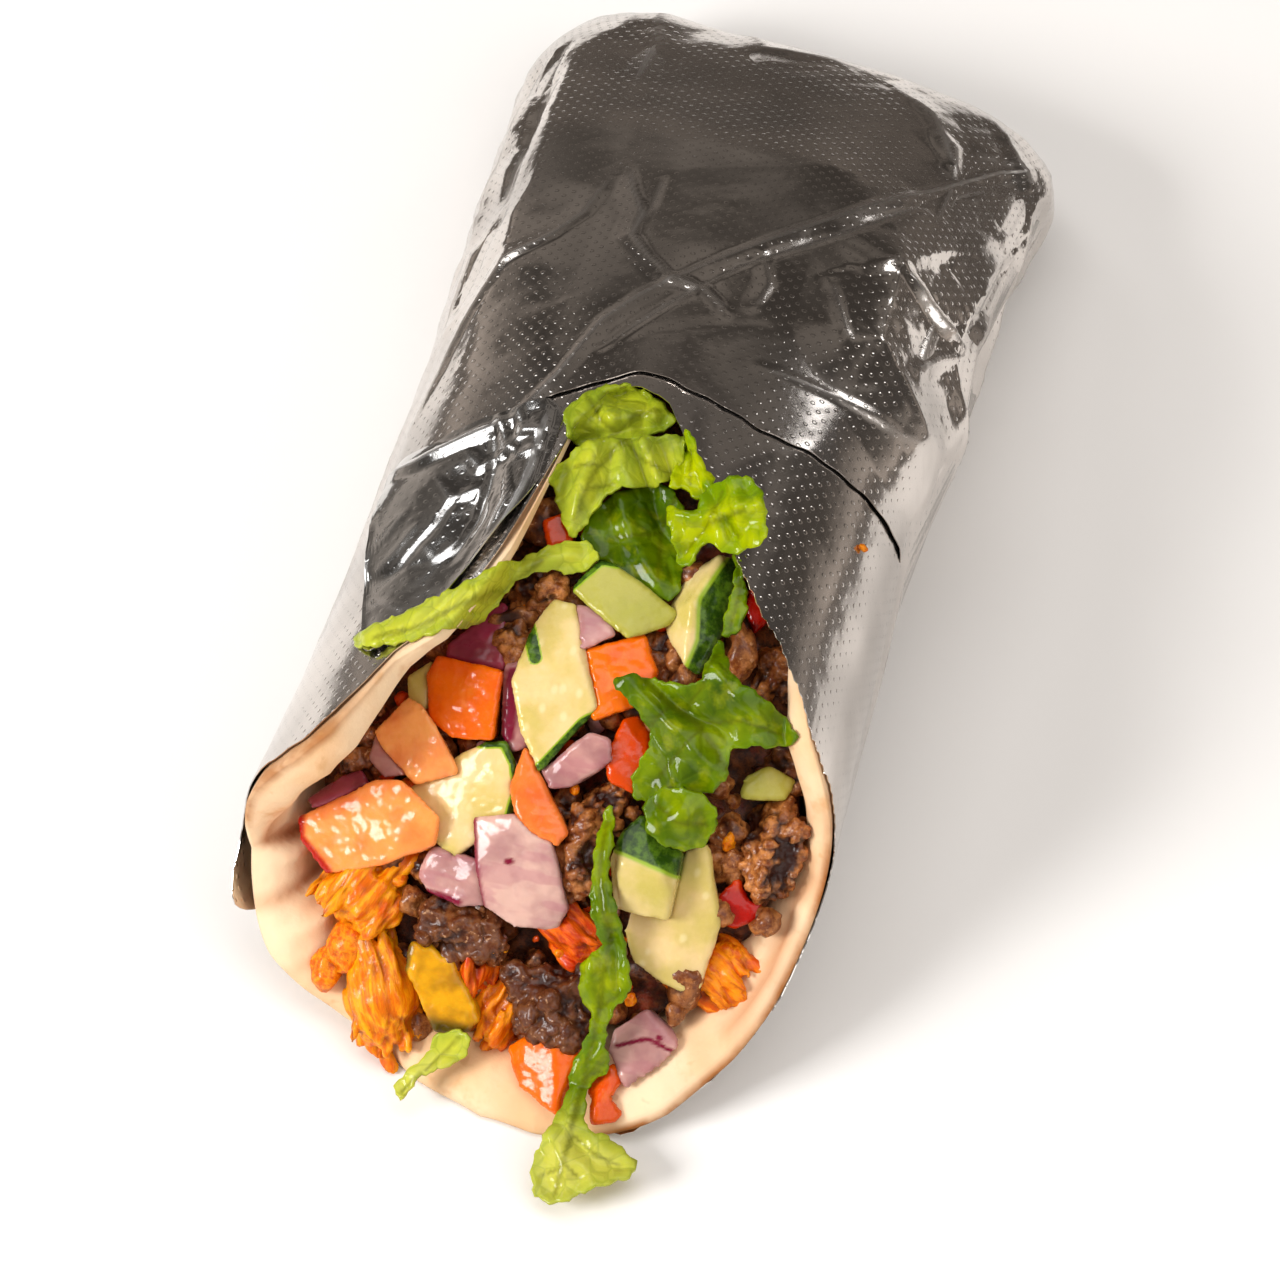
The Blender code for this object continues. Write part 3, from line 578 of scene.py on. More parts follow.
def pita_finish():
    f = Finish("pita_bread", Subsurface_Weight=0.12, Subsurface_Scale=0.003, Specular_IOR_Level=0.15)
    f.shader.inputs["Subsurface Radius"].default_value = (1.0, 0.6, 0.35)
    broad = f.noise(26.0, 3.0, 0.55)
    patch = f.noise(9.0, 4.0, 0.6)
    grain = f.noise(1.1, 4.0, 0.65)
    pores = f.cells(2.6)
    flour = f.mix(f.span(broad, 0.38, 0.62), (245, 215, 178), (235, 192, 146))
    golden = f.mix(f.span(patch, 0.56, 0.76, 0.0, 0.6), flour, (210, 146, 84))
    # Toasting at the lower right and along the edge; on the left band the same browning is painted shade under the lip.
    baked_and_shade = f.math("MULTIPLY", f.attribute("bake_and_shade"), f.span(patch, 0.3, 0.6, 0.5, 1.0))
    toast_and_shade_tint = f.mix(baked_and_shade, golden, (158, 94, 40))
    speck = f.span(f.noise(3.2, 2.0), 0.66, 0.76, 0.0, 0.4)
    specked = f.mix(speck, toast_and_shade_tint, (196, 140, 84))
    # Painted shade: the bread's grooves are darkened towards brown.
    colour = f.mix(f.math("MULTIPLY", f.attribute("groove_shade"), 0.75), specked, (186, 116, 66))
    normal = f.bump(patch, 0.5, 0.6)
    normal = f.bump(pores, 0.18, 0.5, normal)
    normal = f.bump(grain, 0.12, 0.6, normal)
    return f.done(colour, f.span(grain, 0.3, 0.7, 0.62, 0.85), normal)


def tomato_finish():
    f = Finish("tomato_flesh", Subsurface_Weight=0.25, Subsurface_Scale=0.002, Coat_Weight=0.4,
               Coat_Roughness=0.1, Specular_IOR_Level=0.15)
    f.shader.inputs["Subsurface Radius"].default_value = (1.0, 0.35, 0.1)
    cloud = f.noise(6.0, 3.0, 0.55)
    grain = f.noise(0.9, 3.0, 0.6)
    streak = f.noise(3.0, 3.0, 0.6, f.stretched((1.0, 0.3, 1.0), (0.4, 0.2, 0.7)))
    ripe = f.mix(f.attribute("tone"), (240, 112, 2), (192, 30, 0))
    # pale: paler flesh, and partly painted light that brightens tomato_2 and tomato_3.
    fleshy = f.mix(f.attribute("pale"), ripe, (255, 172, 96))
    uneven = f.mix(f.span(cloud, 0.4, 0.7, 0.0, 0.4), fleshy, (214, 60, 4))
    veined = f.mix(f.span(streak, 0.58, 0.76, 0.0, 0.22), uneven, (252, 160, 70))
    skin = f.mix(f.attribute("skin"), veined, (170, 16, 4))
    normal = f.bump(cloud, 0.5, 0.5)
    normal = f.bump(grain, 0.1, 0.5, normal)
    return f.done(skin, f.span(grain, 0.3, 0.7, 0.14, 0.34), normal)


def cucumber_finish():
    f = Finish("cucumber_flesh", Subsurface_Weight=0.3, Subsurface_Scale=0.003, Coat_Weight=0.35,
               Coat_Roughness=0.12, Specular_IOR_Level=0.12)
    f.shader.inputs["Subsurface Radius"].default_value = (1.0, 0.9, 0.4)
    cloud = f.noise(7.0, 3.0)
    grain = f.noise(0.8, 3.0, 0.6)
    pale = f.mix(f.span(cloud, 0.35, 0.65), (230, 200, 142), (206, 184, 104))
    seed = f.span(f.cells(2.6, f.stretched((1.0, 0.6, 1.0), (0.3, 0.2, 0.9))), 0.1, 0.3, 0.3, 0.0)
    seeded = f.mix(seed, pale, (244, 232, 190))
    olive = f.mix(f.attribute("tone"), seeded, (156, 158, 40))
    skin = f.attribute("skin")
    border = f.mix(f.span(skin, 0.12, 0.45), olive, (150, 176, 40))
    speckle = f.mix(f.span(f.noise(1.8, 3.0, 0.7), 0.4, 0.65), (38, 66, 10), (84, 116, 24))
    colour = f.mix(f.span(skin, 0.5, 0.75), border, speckle)
    normal = f.bump(cloud, 0.35, 0.4)
    normal = f.bump(seed, 0.08, 0.4, normal)
    normal = f.bump(grain, 0.08, 0.6, normal)
    return f.done(colour, f.span(grain, 0.3, 0.7, 0.16, 0.36), normal)


def onion_finish():
    f = Finish("onion_flesh", Subsurface_Weight=0.35, Subsurface_Scale=0.003, Coat_Weight=0.4,
               Coat_Roughness=0.1, Specular_IOR_Level=0.15)
    f.shader.inputs["Subsurface Radius"].default_value = (1.0, 0.7, 0.7)
    layers = f.noise(2.4, 2.0, 0.5, f.stretched((0.25, 1.0, 1.0), (0.5, 0.3, 0.4)))
    cloud = f.noise(5.0, 3.0)
    pale = f.mix(f.span(cloud, 0.35, 0.7), (212, 172, 158), (176, 130, 126))
    lined = f.mix(f.span(layers, 0.5, 0.6, 0.0, 0.32), pale, (170, 100, 116))
    purple = f.mix(f.span(cloud, 0.3, 0.7), (146, 34, 66), (112, 12, 40))
    toned = f.mix(f.attribute("tone"), lined, purple)
    colour = f.mix(f.attribute("skin"), toned, (120, 10, 44))
    normal = f.bump(layers, 0.3, 0.5)
    return f.done(colour, f.span(cloud, 0.3, 0.7, 0.18, 0.34), normal)


def pepper_finish():
    f = Finish("pepper_flesh", Subsurface_Weight=0.25, Subsurface_Scale=0.002, Coat_Weight=0.3,
               Coat_Roughness=0.08, Specular_IOR_Level=0.15)
    cloud = f.noise(4.0, 3.0)
    yellow = f.mix(f.span(cloud, 0.35, 0.65), (222, 158, 16), (176, 120, 8))
    colour = f.mix(f.attribute("skin"), yellow, (88, 70, 8))
    return f.done(colour, f.span(cloud, 0.3, 0.7, 0.2, 0.4), f.bump(cloud, 0.4, 0.5))


def meat_finish():
    f = Finish("minced_meat", Coat_Weight=0.4, Coat_Roughness=0.2, Specular_IOR_Level=0.2)
    cloud = f.noise(5.0, 4.0, 0.6)
    grain = f.noise(1.5, 4.0, 0.7)
    crumb = f.cells(1.3)
    lit = f.mix(f.span(grain, 0.34, 0.66), (120, 56, 14), (206, 132, 68))
    dark = f.mix(f.span(cloud, 0.45, 0.65, 0.0, 0.6), lit, (104, 44, 10))
    toned = f.mix(f.attribute("tone"), dark, (66, 24, 8))
    # Painted glints: small pale specks over the meat.
    glint_specks = f.mix(f.span(f.noise(0.9, 2.0), 0.62, 0.72, 0.0, 0.5), toned, (220, 168, 124))
    # Painted shade: cracks, where the surface sinks, darkened almost to black.
    colour = f.mix(f.attribute("deep"), glint_specks, (50, 16, 4))
    normal = f.bump(crumb, -0.3, 0.7)
    normal = f.bump(grain, 0.35, 0.8, normal)
    return f.done(colour, f.span(grain, 0.3, 0.7, 0.28, 0.55), normal)


def chicken_finish():
    f = Finish("spiced_chicken", Coat_Weight=0.28, Coat_Roughness=0.18, Subsurface_Weight=0.15, Subsurface_Scale=0.002,
               Specular_IOR_Level=0.15)
    f.shader.inputs["Subsurface Radius"].default_value = (1.0, 0.4, 0.1)
    fibre = f.noise(0.9, 4.0, 0.6, f.attribute("grain", "Vector"))
    cloud = f.noise(5.5, 3.0, 0.6)
    golden = f.mix(f.span(fibre, 0.36, 0.62), (222, 108, 0), (248, 164, 8))
    stained = f.mix(f.span(cloud, 0.52, 0.7, 0.0, 0.75), golden, (214, 80, 0))
    red = f.mix(f.span(fibre, 0.35, 0.65), (190, 28, 0), (246, 96, 10))
    toned = f.mix(f.attribute("tone"), stained, red)
    shade = f.mix(f.math("MULTIPLY", f.attribute("deep"), 0.7), toned, (150, 56, 0))
    fleck = f.span(f.noise(1.2, 2.0), 0.73, 0.78, 0.0, 0.75)
    colour = f.mix(fleck, shade, (110, 62, 8))
    normal = f.bump(fibre, 0.5, 0.8)
    return f.done(colour, f.span(fibre, 0.3, 0.7, 0.3, 0.5), normal)


def lettuce_finish():
    """Leaf: tone 0 is yellow-green and tone 1 deep green, with fine dark veins."""
    f = Finish("lettuce_leaf", Subsurface_Weight=0.2, Subsurface_Scale=0.001, Coat_Weight=0.32,
               Coat_Roughness=0.07, Specular_IOR_Level=0.05)
    f.shader.inputs["Subsurface Radius"].default_value = (0.8, 1.0, 0.1)
    cloud = f.noise(8.0, 3.0, 0.55)
    patch = f.noise(3.0, 3.0, 0.55)
    grain = f.noise(0.8, 3.0, 0.6)
    quilt = f.cells(3.4, feature="DISTANCE_TO_EDGE")
    net = f.span(quilt, 0.01, 0.06, 0.22, 0.0)
    bright = f.mix(f.span(cloud, 0.35, 0.65), (190, 196, 0), (122, 150, 0))
    deep = f.mix(f.span(cloud, 0.35, 0.65), (70, 106, 0), (18, 50, 0))
    leaf = f.mix(f.attribute("tone"), bright, deep)
    mottled = f.mix(f.span(patch, 0.5, 0.7, 0.0, 0.2), leaf, (206, 206, 20))
    pale = f.mix(f.attribute("pale"), mottled, (214, 208, 84))
    netted = f.mix(net, pale, (92, 112, 4))
    edge = f.mix(f.math("MULTIPLY", f.attribute("edge"), 0.3), netted, (96, 130, 0))
    colour = f.mix(f.math("MULTIPLY", f.attribute("vein"), 0.5), edge, (70, 72, 2))
    normal = f.bump(patch, 0.35, 0.5)
    normal = f.bump(f.span(quilt, 0.0, 0.22), 0.3, 0.5, normal)
    normal = f.bump(grain, 0.05, 0.4, normal)
    return f.done(colour, f.span(cloud, 0.3, 0.7, 0.2, 0.36), normal)


def core_finish():
    """Filling seen in the gaps, painted dark brown and red: partly the filling's own colour, partly painted shade
    between the pieces.
    """
    f = Finish("filling_core", Coat_Weight=0.2, Coat_Roughness=0.2, Specular_IOR_Level=0.2)
    cloud = f.noise(6.0, 4.0, 0.6)
    grain = f.noise(1.6, 4.0, 0.7)
    brown = f.mix(f.span(grain, 0.35, 0.68), (52, 20, 8), (120, 64, 26))
    colour = f.mix(f.span(cloud, 0.52, 0.7, 0.0, 0.7), brown, (140, 36, 6))
    return f.done(colour, f.span(grain, 0.3, 0.7, 0.3, 0.6), f.bump(grain, 0.6, 0.9))


# ---------------------------------------------------------------- foil

SHEET = 0.16
RIM_ANGLE = math.radians(55)  # sharper edges of the foil are not shaded smooth


def facets(a, b, size, seed):
    """Random heights on a warped net of triangles, flat between its corners, as crumpled foil is."""
    table = np.random.default_rng(seed).random(4096) * 2 - 1
    a = a + 0.32 * size * np.sin(b / size * 1.7 + seed) + 0.2 * size * np.sin(b / size * 3.9 - seed)
    b = b + 0.32 * size * np.sin(a / size * 1.9 - seed) + 0.2 * size * np.sin(a / size * 3.3 + seed)
    across = (a - b / math.sqrt(3)) / size
    up = 2 * b / math.sqrt(3) / size
    i = np.floor(across).astype(int)
    j = np.floor(up).astype(int)
    s = across - i
    t = up - j

    def corner(di, dj):
        return table[((i + di) * 127 + (j + dj) * 311) % 4096]

    near = corner(0, 0) + s * (corner(1, 0) - corner(0, 0)) + t * (corner(0, 1) - corner(0, 0))
    far = corner(1, 1) + (1 - s) * (corner(0, 1) - corner(1, 1)) + (1 - t) * (corner(1, 0) - corner(1, 1))
    return np.where(s + t < 1, near, far)


def creases(angle, y, table):
    """Sum of the listed fold lines."""
    arc = arc_of(angle)
    lift = np.zeros(np.shape(arc))
    for route, height, left, right in table:
        route = [(float(arc_of(a)), b) for a, b in route]
        distance, side, along = near_route(arc, y, route)
        fall = np.where(side > 0, left, right)
        fade = np.sin(np.pi * np.clip(along, 0.03, 0.97)) ** 0.35
        lift += height * fade * np.clip(1 - distance / fall, 0, 1) ** 1.15
    return lift


def fold_marks(angle, y, *tables):
    """1 along the worn line of each fold and 0 beside it."""
    arc = arc_of(angle)
    mark = np.zeros(np.shape(arc))
    for table in tables:
        for route, height, left, right in table:
            route = [(float(arc_of(a)), b) for a, b in route]
            distance, _, along = near_route(arc, y, route)
            share = np.clip(abs(height), 0.3, 0.8) * np.clip(np.sin(np.pi * along) * 4, 0, 1)
            if max(left, right) < 6:
                mark = np.maximum(mark, share * (1 - step(distance, 0.1, 0.7)))
    return mark


def foil_relief(angle, y):
    """How far the foil stands out from its even form."""
    arc = arc_of(angle)
    left = step(-angle, 40, 62) * step(y, 88, 125)
    right = step(angle, 30, 55) * step(y, 92, 112)
    end = step(y, 172, 192)
    below = step(np.abs(angle), 100, 130)
    loose = np.clip(np.maximum.reduce([left, right, end, below * 0.7]), 0, 1)
    calm = 0.12 + 0.1 * step(y, 60, 100)
    lift = (calm + 0.42 * loose) * facets(arc, y, 13.0, 3)
    lift = lift + (0.04 + 0.24 * loose) * facets(arc, y, 5.5, 8)
    lift = lift + (0.02 + 0.09 * loose) * facets(arc, y, 2.6, 21)
    lift = lift + 0.3 * np.sin(arc / 17.0 + y / 31.0) * np.sin(y / 23.0 - arc / 40.0)
    return lift + creases(angle, y, CREASES)


def column_angles(count):
    """Angles of even steps round the foil, from under it on one side to under it on the other."""
    return angle_of(np.linspace(ARC[0], ARC[-1], count, endpoint=False))


def rim_teeth(angle):
    """Small pinked teeth along the foil's cut edge, and its slow waves."""
    arc = arc_of(angle)
    teeth = np.abs((arc / 1.5) % 1 - 0.5) * 1.1
    waves = 0.35 * np.sin(arc * 0.9) * np.sin(arc * 0.23 + 1.0)
    return (waves + teeth) * (0.3 + 0.7 * step(angle, 15, 30))


def tube_angles():
    """Angles of the tube's columns, closest together along the pinked edge at the right."""
    stretches = ((ARC[0], 6.0, 0.95), (6.0, float(arc_of(128)), 0.42), (float(arc_of(128)), ARC[-1], 0.95))
    columns = [np.arange(start, end, pitch) for start, end, pitch in stretches]
    return angle_of(np.concatenate(columns))


def foil_tube(material):
    """The sheet round the wrap: its outside, its edge, and its inside out of sight."""
    rows = 190
    angles = tube_angles()
    columns = len(angles)
    corner = np.exp(-((angles + 111) / 8) ** 2)
    loose_side = 1.9 * np.exp(-((angles + 104) / 14) ** 2)
    under_lip = 4.5 * step(-np.cos(np.radians(angles)), 0.25, 0.75) * step(-angles, -100, 60)
    rim = column(FOIL_RIM, angles) + under_lip + rim_teeth(angles) - 7.5 * corner
    rings = []
    sheet = []
    folds = []

    def add(y, under):
        relief = np.maximum(foil_relief(angles, y), -1.0) * np.clip((y - rim) / 8, 0.04, 1)
        flare = loose_side * np.clip((36 - y) / 20, 0, 1)
        points = wrap_points(angles, y, under - relief - flare)
        points[:, 2] = np.maximum(points[:, 2], under)
        rings.append(points)
        sheet.append(np.stack((arc_of(angles), y, np.zeros(columns)), axis=-1))
        folds.append(fold_marks(angles, y, CREASES))

    for share in (1.0, 0.9, 0.75, 0.6, 0.45, 0.3, 0.2, 0.12, 0.06, 0.03, 0.0):
        add(rim + (FOIL_END - 1 - rim) * share, SHEET)
    for share in np.linspace(0, 1, rows):
        add(rim + (FOIL_END - rim) * share, 0.0)
    obj = tube_object("foil_wrap", rings, material)
    ends = [sheet[0].mean(axis=0), sheet[-1].mean(axis=0)]
    paint_vector(obj, "sheet", np.concatenate(sheet + [np.array(ends)]))
    obj.data.set_sharp_from_angle(angle=RIM_ANGLE)
    paint(obj, "fold", np.concatenate(folds + [np.zeros(2)]))
    return obj


def foil_layer(name, table, lift, sink, spacing, curl, more_creases, crumple, material):
    """Folded layer of foil between two edges: a thin sheet whose back dips under the foil."""
    low, high = arc_of(table[0][0]), arc_of(table[-1][0])
    columns = int((high - low) / spacing) + 2
    angles = angle_of(np.linspace(low, high, columns))
    front, back = smooth_columns(table, angles)
    front = front + 0.25 * np.sin(arc_of(angles) * 0.8) * np.sin(arc_of(angles) * 0.31)
    rows = int((back - front).max() / spacing) + 2
    top = []
    under = []
    sheet = []
    folds = []
    side = np.minimum(angles - angles[0], angles[-1] - angles)
    for share in np.linspace(0, 1, rows):
        y = front + (back - front) * share
        relief = np.maximum(foil_relief(angles, y), -1.0) + creases(angles, y, more_creases)
        relief = relief + crumple * (facets(arc_of(angles), y, 7.0, 5) + 0.5 * facets(arc_of(angles), y, 3.2, 9))
        edge = curl * np.clip(1 - (y - front) / 5, 0, 1) ** 2
        height = (lift + edge) * step(side, -1, 5) + 0.15 - sink * share ** 3
        top.append(wrap_points(angles, y, -height - relief))
        under.append(wrap_points(angles, y, -height - relief + SHEET))
        sheet.append(np.stack((arc_of(angles) + 0.5, y + 0.7, np.zeros(columns)), axis=-1))
        folds.append(fold_marks(angles, y, CREASES, more_creases))
    grid = np.concatenate(top)
    beneath = np.concatenate(under)
    total = len(grid)
    faces = ring_faces(rows, columns, False)
    faces += [tuple(total + k for k in reversed(face)) for face in faces]
    rim = [i for i in range(columns)] + [(j + 1) * columns - 1 for j in range(1, rows)]
    rim += [(rows - 1) * columns + i for i in range(columns - 2, -1, -1)]
    rim += [j * columns for j in range(rows - 2, 0, -1)]
    for i, first in enumerate(rim):
        second = rim[(i + 1) % len(rim)]
        faces.append((second, first, total + first, total + second))
    obj = new_object(name, np.concatenate((grid, beneath)), faces, material)
    paint_vector(obj, "sheet", np.concatenate(sheet + sheet))
    paint(obj, "fold", np.concatenate(folds + folds))
    face_out(obj)
    obj.data.set_sharp_from_angle(angle=RIM_ANGLE)
    return obj


# ---------------------------------------------------------------- pita

# angle, length of the lip's rounding inwards, how far it lies back from the usual edge, thickness added
PITA_LIP = (
    (-180, 11, -2.3, 0), (-165, 11, 1, 0), (-155, 11, 2.4, 0), (-145, 10, 1.6, 0), (-134, 10, -1.5, 0),
    (-122, 10, -2.6, 0), (-110, 9, -1.5, 0), (-98, 7, 0, 0), (-89, 4, 0, 0.4),
    (-82, 2.4, 0, 1.2), (-62, 2.2, 0, 1.4), (-46, 2.2, 0, 0.6), (-36, 2.0, 0, -1.0), (-28, 1.8, 0.5, -2.2),
    (-20, 1.6, 2, -2.8), (-12, 1.5, 5, -3.4), (0, 1.5, 6, -3.6), (40, 1.5, 6, -3.6), (47, 1.8, 4, -3.0),
    (53, 2.2, 1, -1.8), (62, 3.0, 0, -0.4), (76, 4.5, 0, 0), (92, 6, 0, 0), (106, 9, 0, 0), (125, 11, 0, 0),
    (150, 11, -1.4, 0), (165, 11, -1.9, 0), (180, 11, -2.3, 0),
)
PITA_SNUG = 0.45  # depth of the lip's outer face under the foil
PITA_FOLDS = (
    (((-95, 22), (-103, 21), (-110, 25), (-116, 32)), -1.8, 2.0, 3.0),
    (((-105, 16), (-111, 21), (-117, 29)), 1.6, 2.4, 2.6),
    (((-113, 12), (-119, 18), (-125, 27)), -1.4, 2.2, 2.4),
    (((-121, 9), (-127, 15), (-132, 24)), 1.5, 2.8, 2.4),
    (((-130, 7), (-136, 13), (-140, 22)), -1.0, 2.4, 2.6),
    (((-143, 4), (-147, 10), (-149, 20)), 0.9, 3.2, 3.0),
    (((-160, 0), (-162, 8), (-160, 18)), -0.6, 3.0, 3.0),
    (((92, 35), (104, 31), (114, 21), (126, 13)), -1.3, 1.8, 2.2),
    (((98, 38), (110, 33), (122, 24), (134, 18)), 0.8, 2.6, 2.4),
    (((168, 3), (160, 10), (158, 22)), 0.7, 3.0, 3.0),
    (((112, 30), (122, 24), (132, 24)), 0.8, 4.0, 4.0),
    (((150, 6), (146, 22), (150, 40)), -0.5, 4.0, 4.0),
)


def pita_relief(angle, y):
    arc = arc_of(angle)
    soft = 0.45 * np.sin(arc / 7.0 + 0.6 * np.sin(y / 9.0)) * np.sin(y / 8.0 + np.sin(arc / 11.0))
    small = 0.16 * np.sin(arc / 2.1 + np.sin(y / 3.0)) * np.sin(y / 2.4 + np.sin(arc / 2.9))
    return soft + small + creases(angle, y, PITA_FOLDS)


def pita_bread(material):
    """Folded flat bread: inside, rounded lip, outside."""
    columns = 300
    angles = column_angles(columns)
    length, back, added = smooth_columns(PITA_LIP, angles)
    rim = column(PITA_RIM, angles) + back
    rim = rim + 0.5 * np.sin(arc_of(angles) / 3.4) * np.sin(arc_of(angles) / 8.1)
    full = PITA_INNER - PITA_SNUG + added
    rings = []
    bake_and_shade = []
    groove_shade = []
    inner_end, outer_end = 181, 186
    lower_right = step(angles, 70, 95) * step(-angles, -168, -150)
    # Painted shade: the left band under the lip gets the toasted brown as well.
    left_band_shade = step(angles, -98, -86) * step(-angles, 28, 46)
    toast_and_band_shade = 0.12 + 0.88 * np.maximum(lower_right, 0.85 * left_band_shade)

    def outer_depth(y):
        return PITA_SNUG + (PITA_OUTER - PITA_SNUG) * step(y - rim, 0, 10)

    def add(y, under, reach, browning_and_shade):
        relief = pita_relief(angles, y)
        rings.append(wrap_points(angles, y, under - relief * reach))
        bake_and_shade.append(browning_and_shade * np.ones(columns))
        # Painted shade in the grooves, where the relief is negative.
        groove_shade.append(np.clip(-relief / 1.4, 0, 1))

    edge = rim + length
    for share in np.concatenate(((1.0, 0.85, 0.7, 0.56), np.linspace(0.46, 0, 50)[:-1])):
        y = edge + (inner_end - edge) * share
        thinned = full + (PITA_INNER - PITA_SNUG - full) * step(y - edge, 6, 20)
        add(y, PITA_SNUG + thinned, -1.0, 0.0)
    for turn in np.linspace(math.pi / 2, 0, 18):
        y = rim + length * (1 - math.cos(turn))
        add(y, PITA_SNUG + full * math.sin(turn), -math.sin(turn), toast_and_band_shade * (1 - step(turn, 0.05, 0.35)))
    for share in np.concatenate((np.linspace(0, 0.22, 40)[1:], (0.3, 0.45, 0.6, 0.75, 0.9, 1.0))):
        y = rim + 0.4 + (outer_end - rim) * share
        add(y, outer_depth(y), 0.0, toast_and_band_shade * max(0.0, 1 - share * 14))
    obj = tube_object("pita_bread", rings, material)
    paint(obj, "bake_and_shade", np.concatenate(bake_and_shade + [np.zeros(2)]))
    paint(obj, "groove_shade", np.concatenate(groove_shade + [np.zeros(2)]))
    return obj


# ---------------------------------------------------------------- cut vegetables

# tone, pale (tomato) and routes of skin (reach, (u, v) points)
TOMATO = {
    "tomato_1": (0.15, 0.0, ()),
    # tomato_2 and tomato_3: their pale share is partly painted light.
    "tomato_2": (0.1, 1.0, ()),
    "tomato_3": (0.15, 0.62, ((1.3, ((-36, 33), (-35.5, 30), (-30, 26))),)),
    "tomato_4": (0.35, 0.25, ()),
    "tomato_5": (0.05, 0.0, ()),
    "tomato_6": (0.7, 0.0, ()),
    "tomato_7": (0.15, 0.0, ()),
    "tomato_8": (0.5, 0.0, ()),
    "tomato_9": (0.9, 0.0, ((3.0, ((28, 34), (34, 36))),)),
    # tomato_10 and tomato_11 lie in shadow; their deep red tone and wide skin are partly painted shade.
    "tomato_10": (0.75, 0.0, ()),
    "tomato_11": (1.0, 0.0, ((4.0, ((24, 76), (24, 86))),)),
}
CUCUMBER = {
    "cucumber_1": (0.0, ((1.3, ((6, 58), (4, 56), (-1, 47.5))), (1.0, ((-8, 69), (-5.5, 64))))),
    "cucumber_2": (0.0, ((1.5, ((-11, 50.6), (-7, 51.6), (-4.4, 48.5), (-3.2, 44), (-3.4, 40))),)),
    "cucumber_3": (0.8, ((1.4, ((-4, 75), (0, 80.6), (3, 80.8))),)),
    "cucumber_4": (0.15, ((3.4, ((21, 84), (19, 77.5), (20, 72), (19.4, 67))),)),
    "cucumber_5": (0.0, ()),
    "cucumber_6": (0.25, ((3.4, ((13.5, 42.2), (18, 41.4), (22, 40.6))),)),
    "cucumber_7": (0.7, ()),
    "cucumber_8": (0.45, ()),
}
ONION = {
    "onion_1": (0.0, ((0.9, ((-9.4, 39), (-7.4, 32), (-5.4, 26.6))), (0.5, ((-2.7, 34), (-2.2, 34.2))))),
    "onion_2": (0.22, ((0.5, ((-9, 26.6), (-14, 27))),)),
    "onion_3": (0.95, ()),
    "onion_4": (0.45, ((1.0, ((-8.5, 61), (-7, 52))),)),
    "onion_5": (0.15, ()),
    "onion_6": (0.35, ()),
    "onion_7": (0.3, ()),
    "onion_8": (0.9, ()),
    "onion_9": (0.22, ((0.35, ((18, 11), (22, 13), (26, 12))), (0.45, ((23.5, 13.5), (23.8, 13.5))))),
}
PEPPER = {"pepper_1": ((2.6, ((-4, 6.4), (-9, 6.4))), (1.0, ((-15.4, 18), (-15.4, 14))))}


CUT_SWELL = 0.28  # closes the even gaps between the solids


def skin_share(u, v, routes):
    """1 on a piece's skin and 0 on its flesh, from routes along the skin and their reach."""
    share = np.zeros(len(u))
    for reach, route in routes:
        distance = near_route(u, v, route)[0]
        share = np.maximum(share, 1 - step(distance, reach * 0.6, reach * 1.25))
    return share


def cut_piece(node, material, slot, relief, seed, rounds=2):
    """A diced piece: its solid with softened edges and the small unevenness of a cut."""
    obj = copy_of(node, node + "_cut", material)
    soften(obj, 0.4, rounds)
    points = places(obj)
    out = normals(obj)
    lift = CUT_SWELL + relief * rough(points, 3.6, seed, 3) + relief * 0.35 * rough(points, 0.9, seed + 3, 2)
    move_to(obj, points + out * lift[:, None])
    dress(obj, slot, node)
    return obj, points


def diced_vegetables(finishes):
    for seed, (node, (tone, pale, routes)) in enumerate(TOMATO.items()):
        obj, points = cut_piece(node, finishes["tomato"], "tomato", 0.2, seed)
        u, v, _ = mouth_places(points)
        paint(obj, "tone", tone)
        paint(obj, "pale", pale)
        paint(obj, "skin", skin_share(u, v, routes))
    for seed, (node, (tone, routes)) in enumerate(CUCUMBER.items()):
        obj, points = cut_piece(node, finishes["cucumber"], "cucumber", 0.16, seed + 20)
        u, v, _ = mouth_places(points)
        paint(obj, "tone", tone)
        paint(obj, "skin", skin_share(u, v, routes))
    for seed, (node, (tone, routes)) in enumerate(ONION.items()):
        obj, points = cut_piece(node, finishes["onion"], "onion", 0.2, seed + 40)
        u, v, _ = mouth_places(points)
        paint(obj, "tone", tone)
        paint(obj, "skin", skin_share(u, v, routes))
    for node, routes in PEPPER.items():
        obj, points = cut_piece(node, finishes["pepper"], "pepper", 0.3, 60)
        u, v, _ = mouth_places(points)
        paint(obj, "skin", skin_share(u, v, routes))


# ---------------------------------------------------------------- meat

# darkness, number of added crumbs
MEAT = {
    "meat_1": (0.1, 26), "meat_2": (0.0, 26), "meat_3": (0.75, 26), "meat_4": (0.8, 30), "meat_5": (0.1, 16),
    "meat_6": (0.2, 14), "meat_7": (0.25, 18), "meat_8": (0.5, 12), "meat_9": (0.3, 12), "meat_10": (0.5, 12),
    "meat_11": (0.3, 10),
}
# redness, number of shreds, turn of the fibres in the mouth (degrees from straight up)
CHICKEN = {
    "chicken_1": (0.05, 26, -25), "chicken_2": (0.0, 34, 24), "chicken_3": (0.75, 10, 10),
    "chicken_4": (0.85, 12, 60), "chicken_5": (0.35, 14, 60), "chicken_6": (0.3, 16, -20),
}


def add_lump(bm, middle, halves, turn, detail=2):
    """Add an oval lump, in millimetres of the wrap's frame."""
    scale = Matrix.Diagonal((halves[0] * MM, halves[1] * MM, halves[2] * MM, 1.0))
    place = Matrix.Translation((Vector(middle) - SHIFT) * MM)
    bmesh.ops.create_icosphere(bm, subdivisions=detail, radius=1.0, matrix=place @ turn.to_4x4() @ scale)


def mouth_turn(degrees):
    return Matrix.Rotation(MOUTH_TILT, 3, "X") @ Matrix.Rotation(math.radians(degrees), 3, "Z")


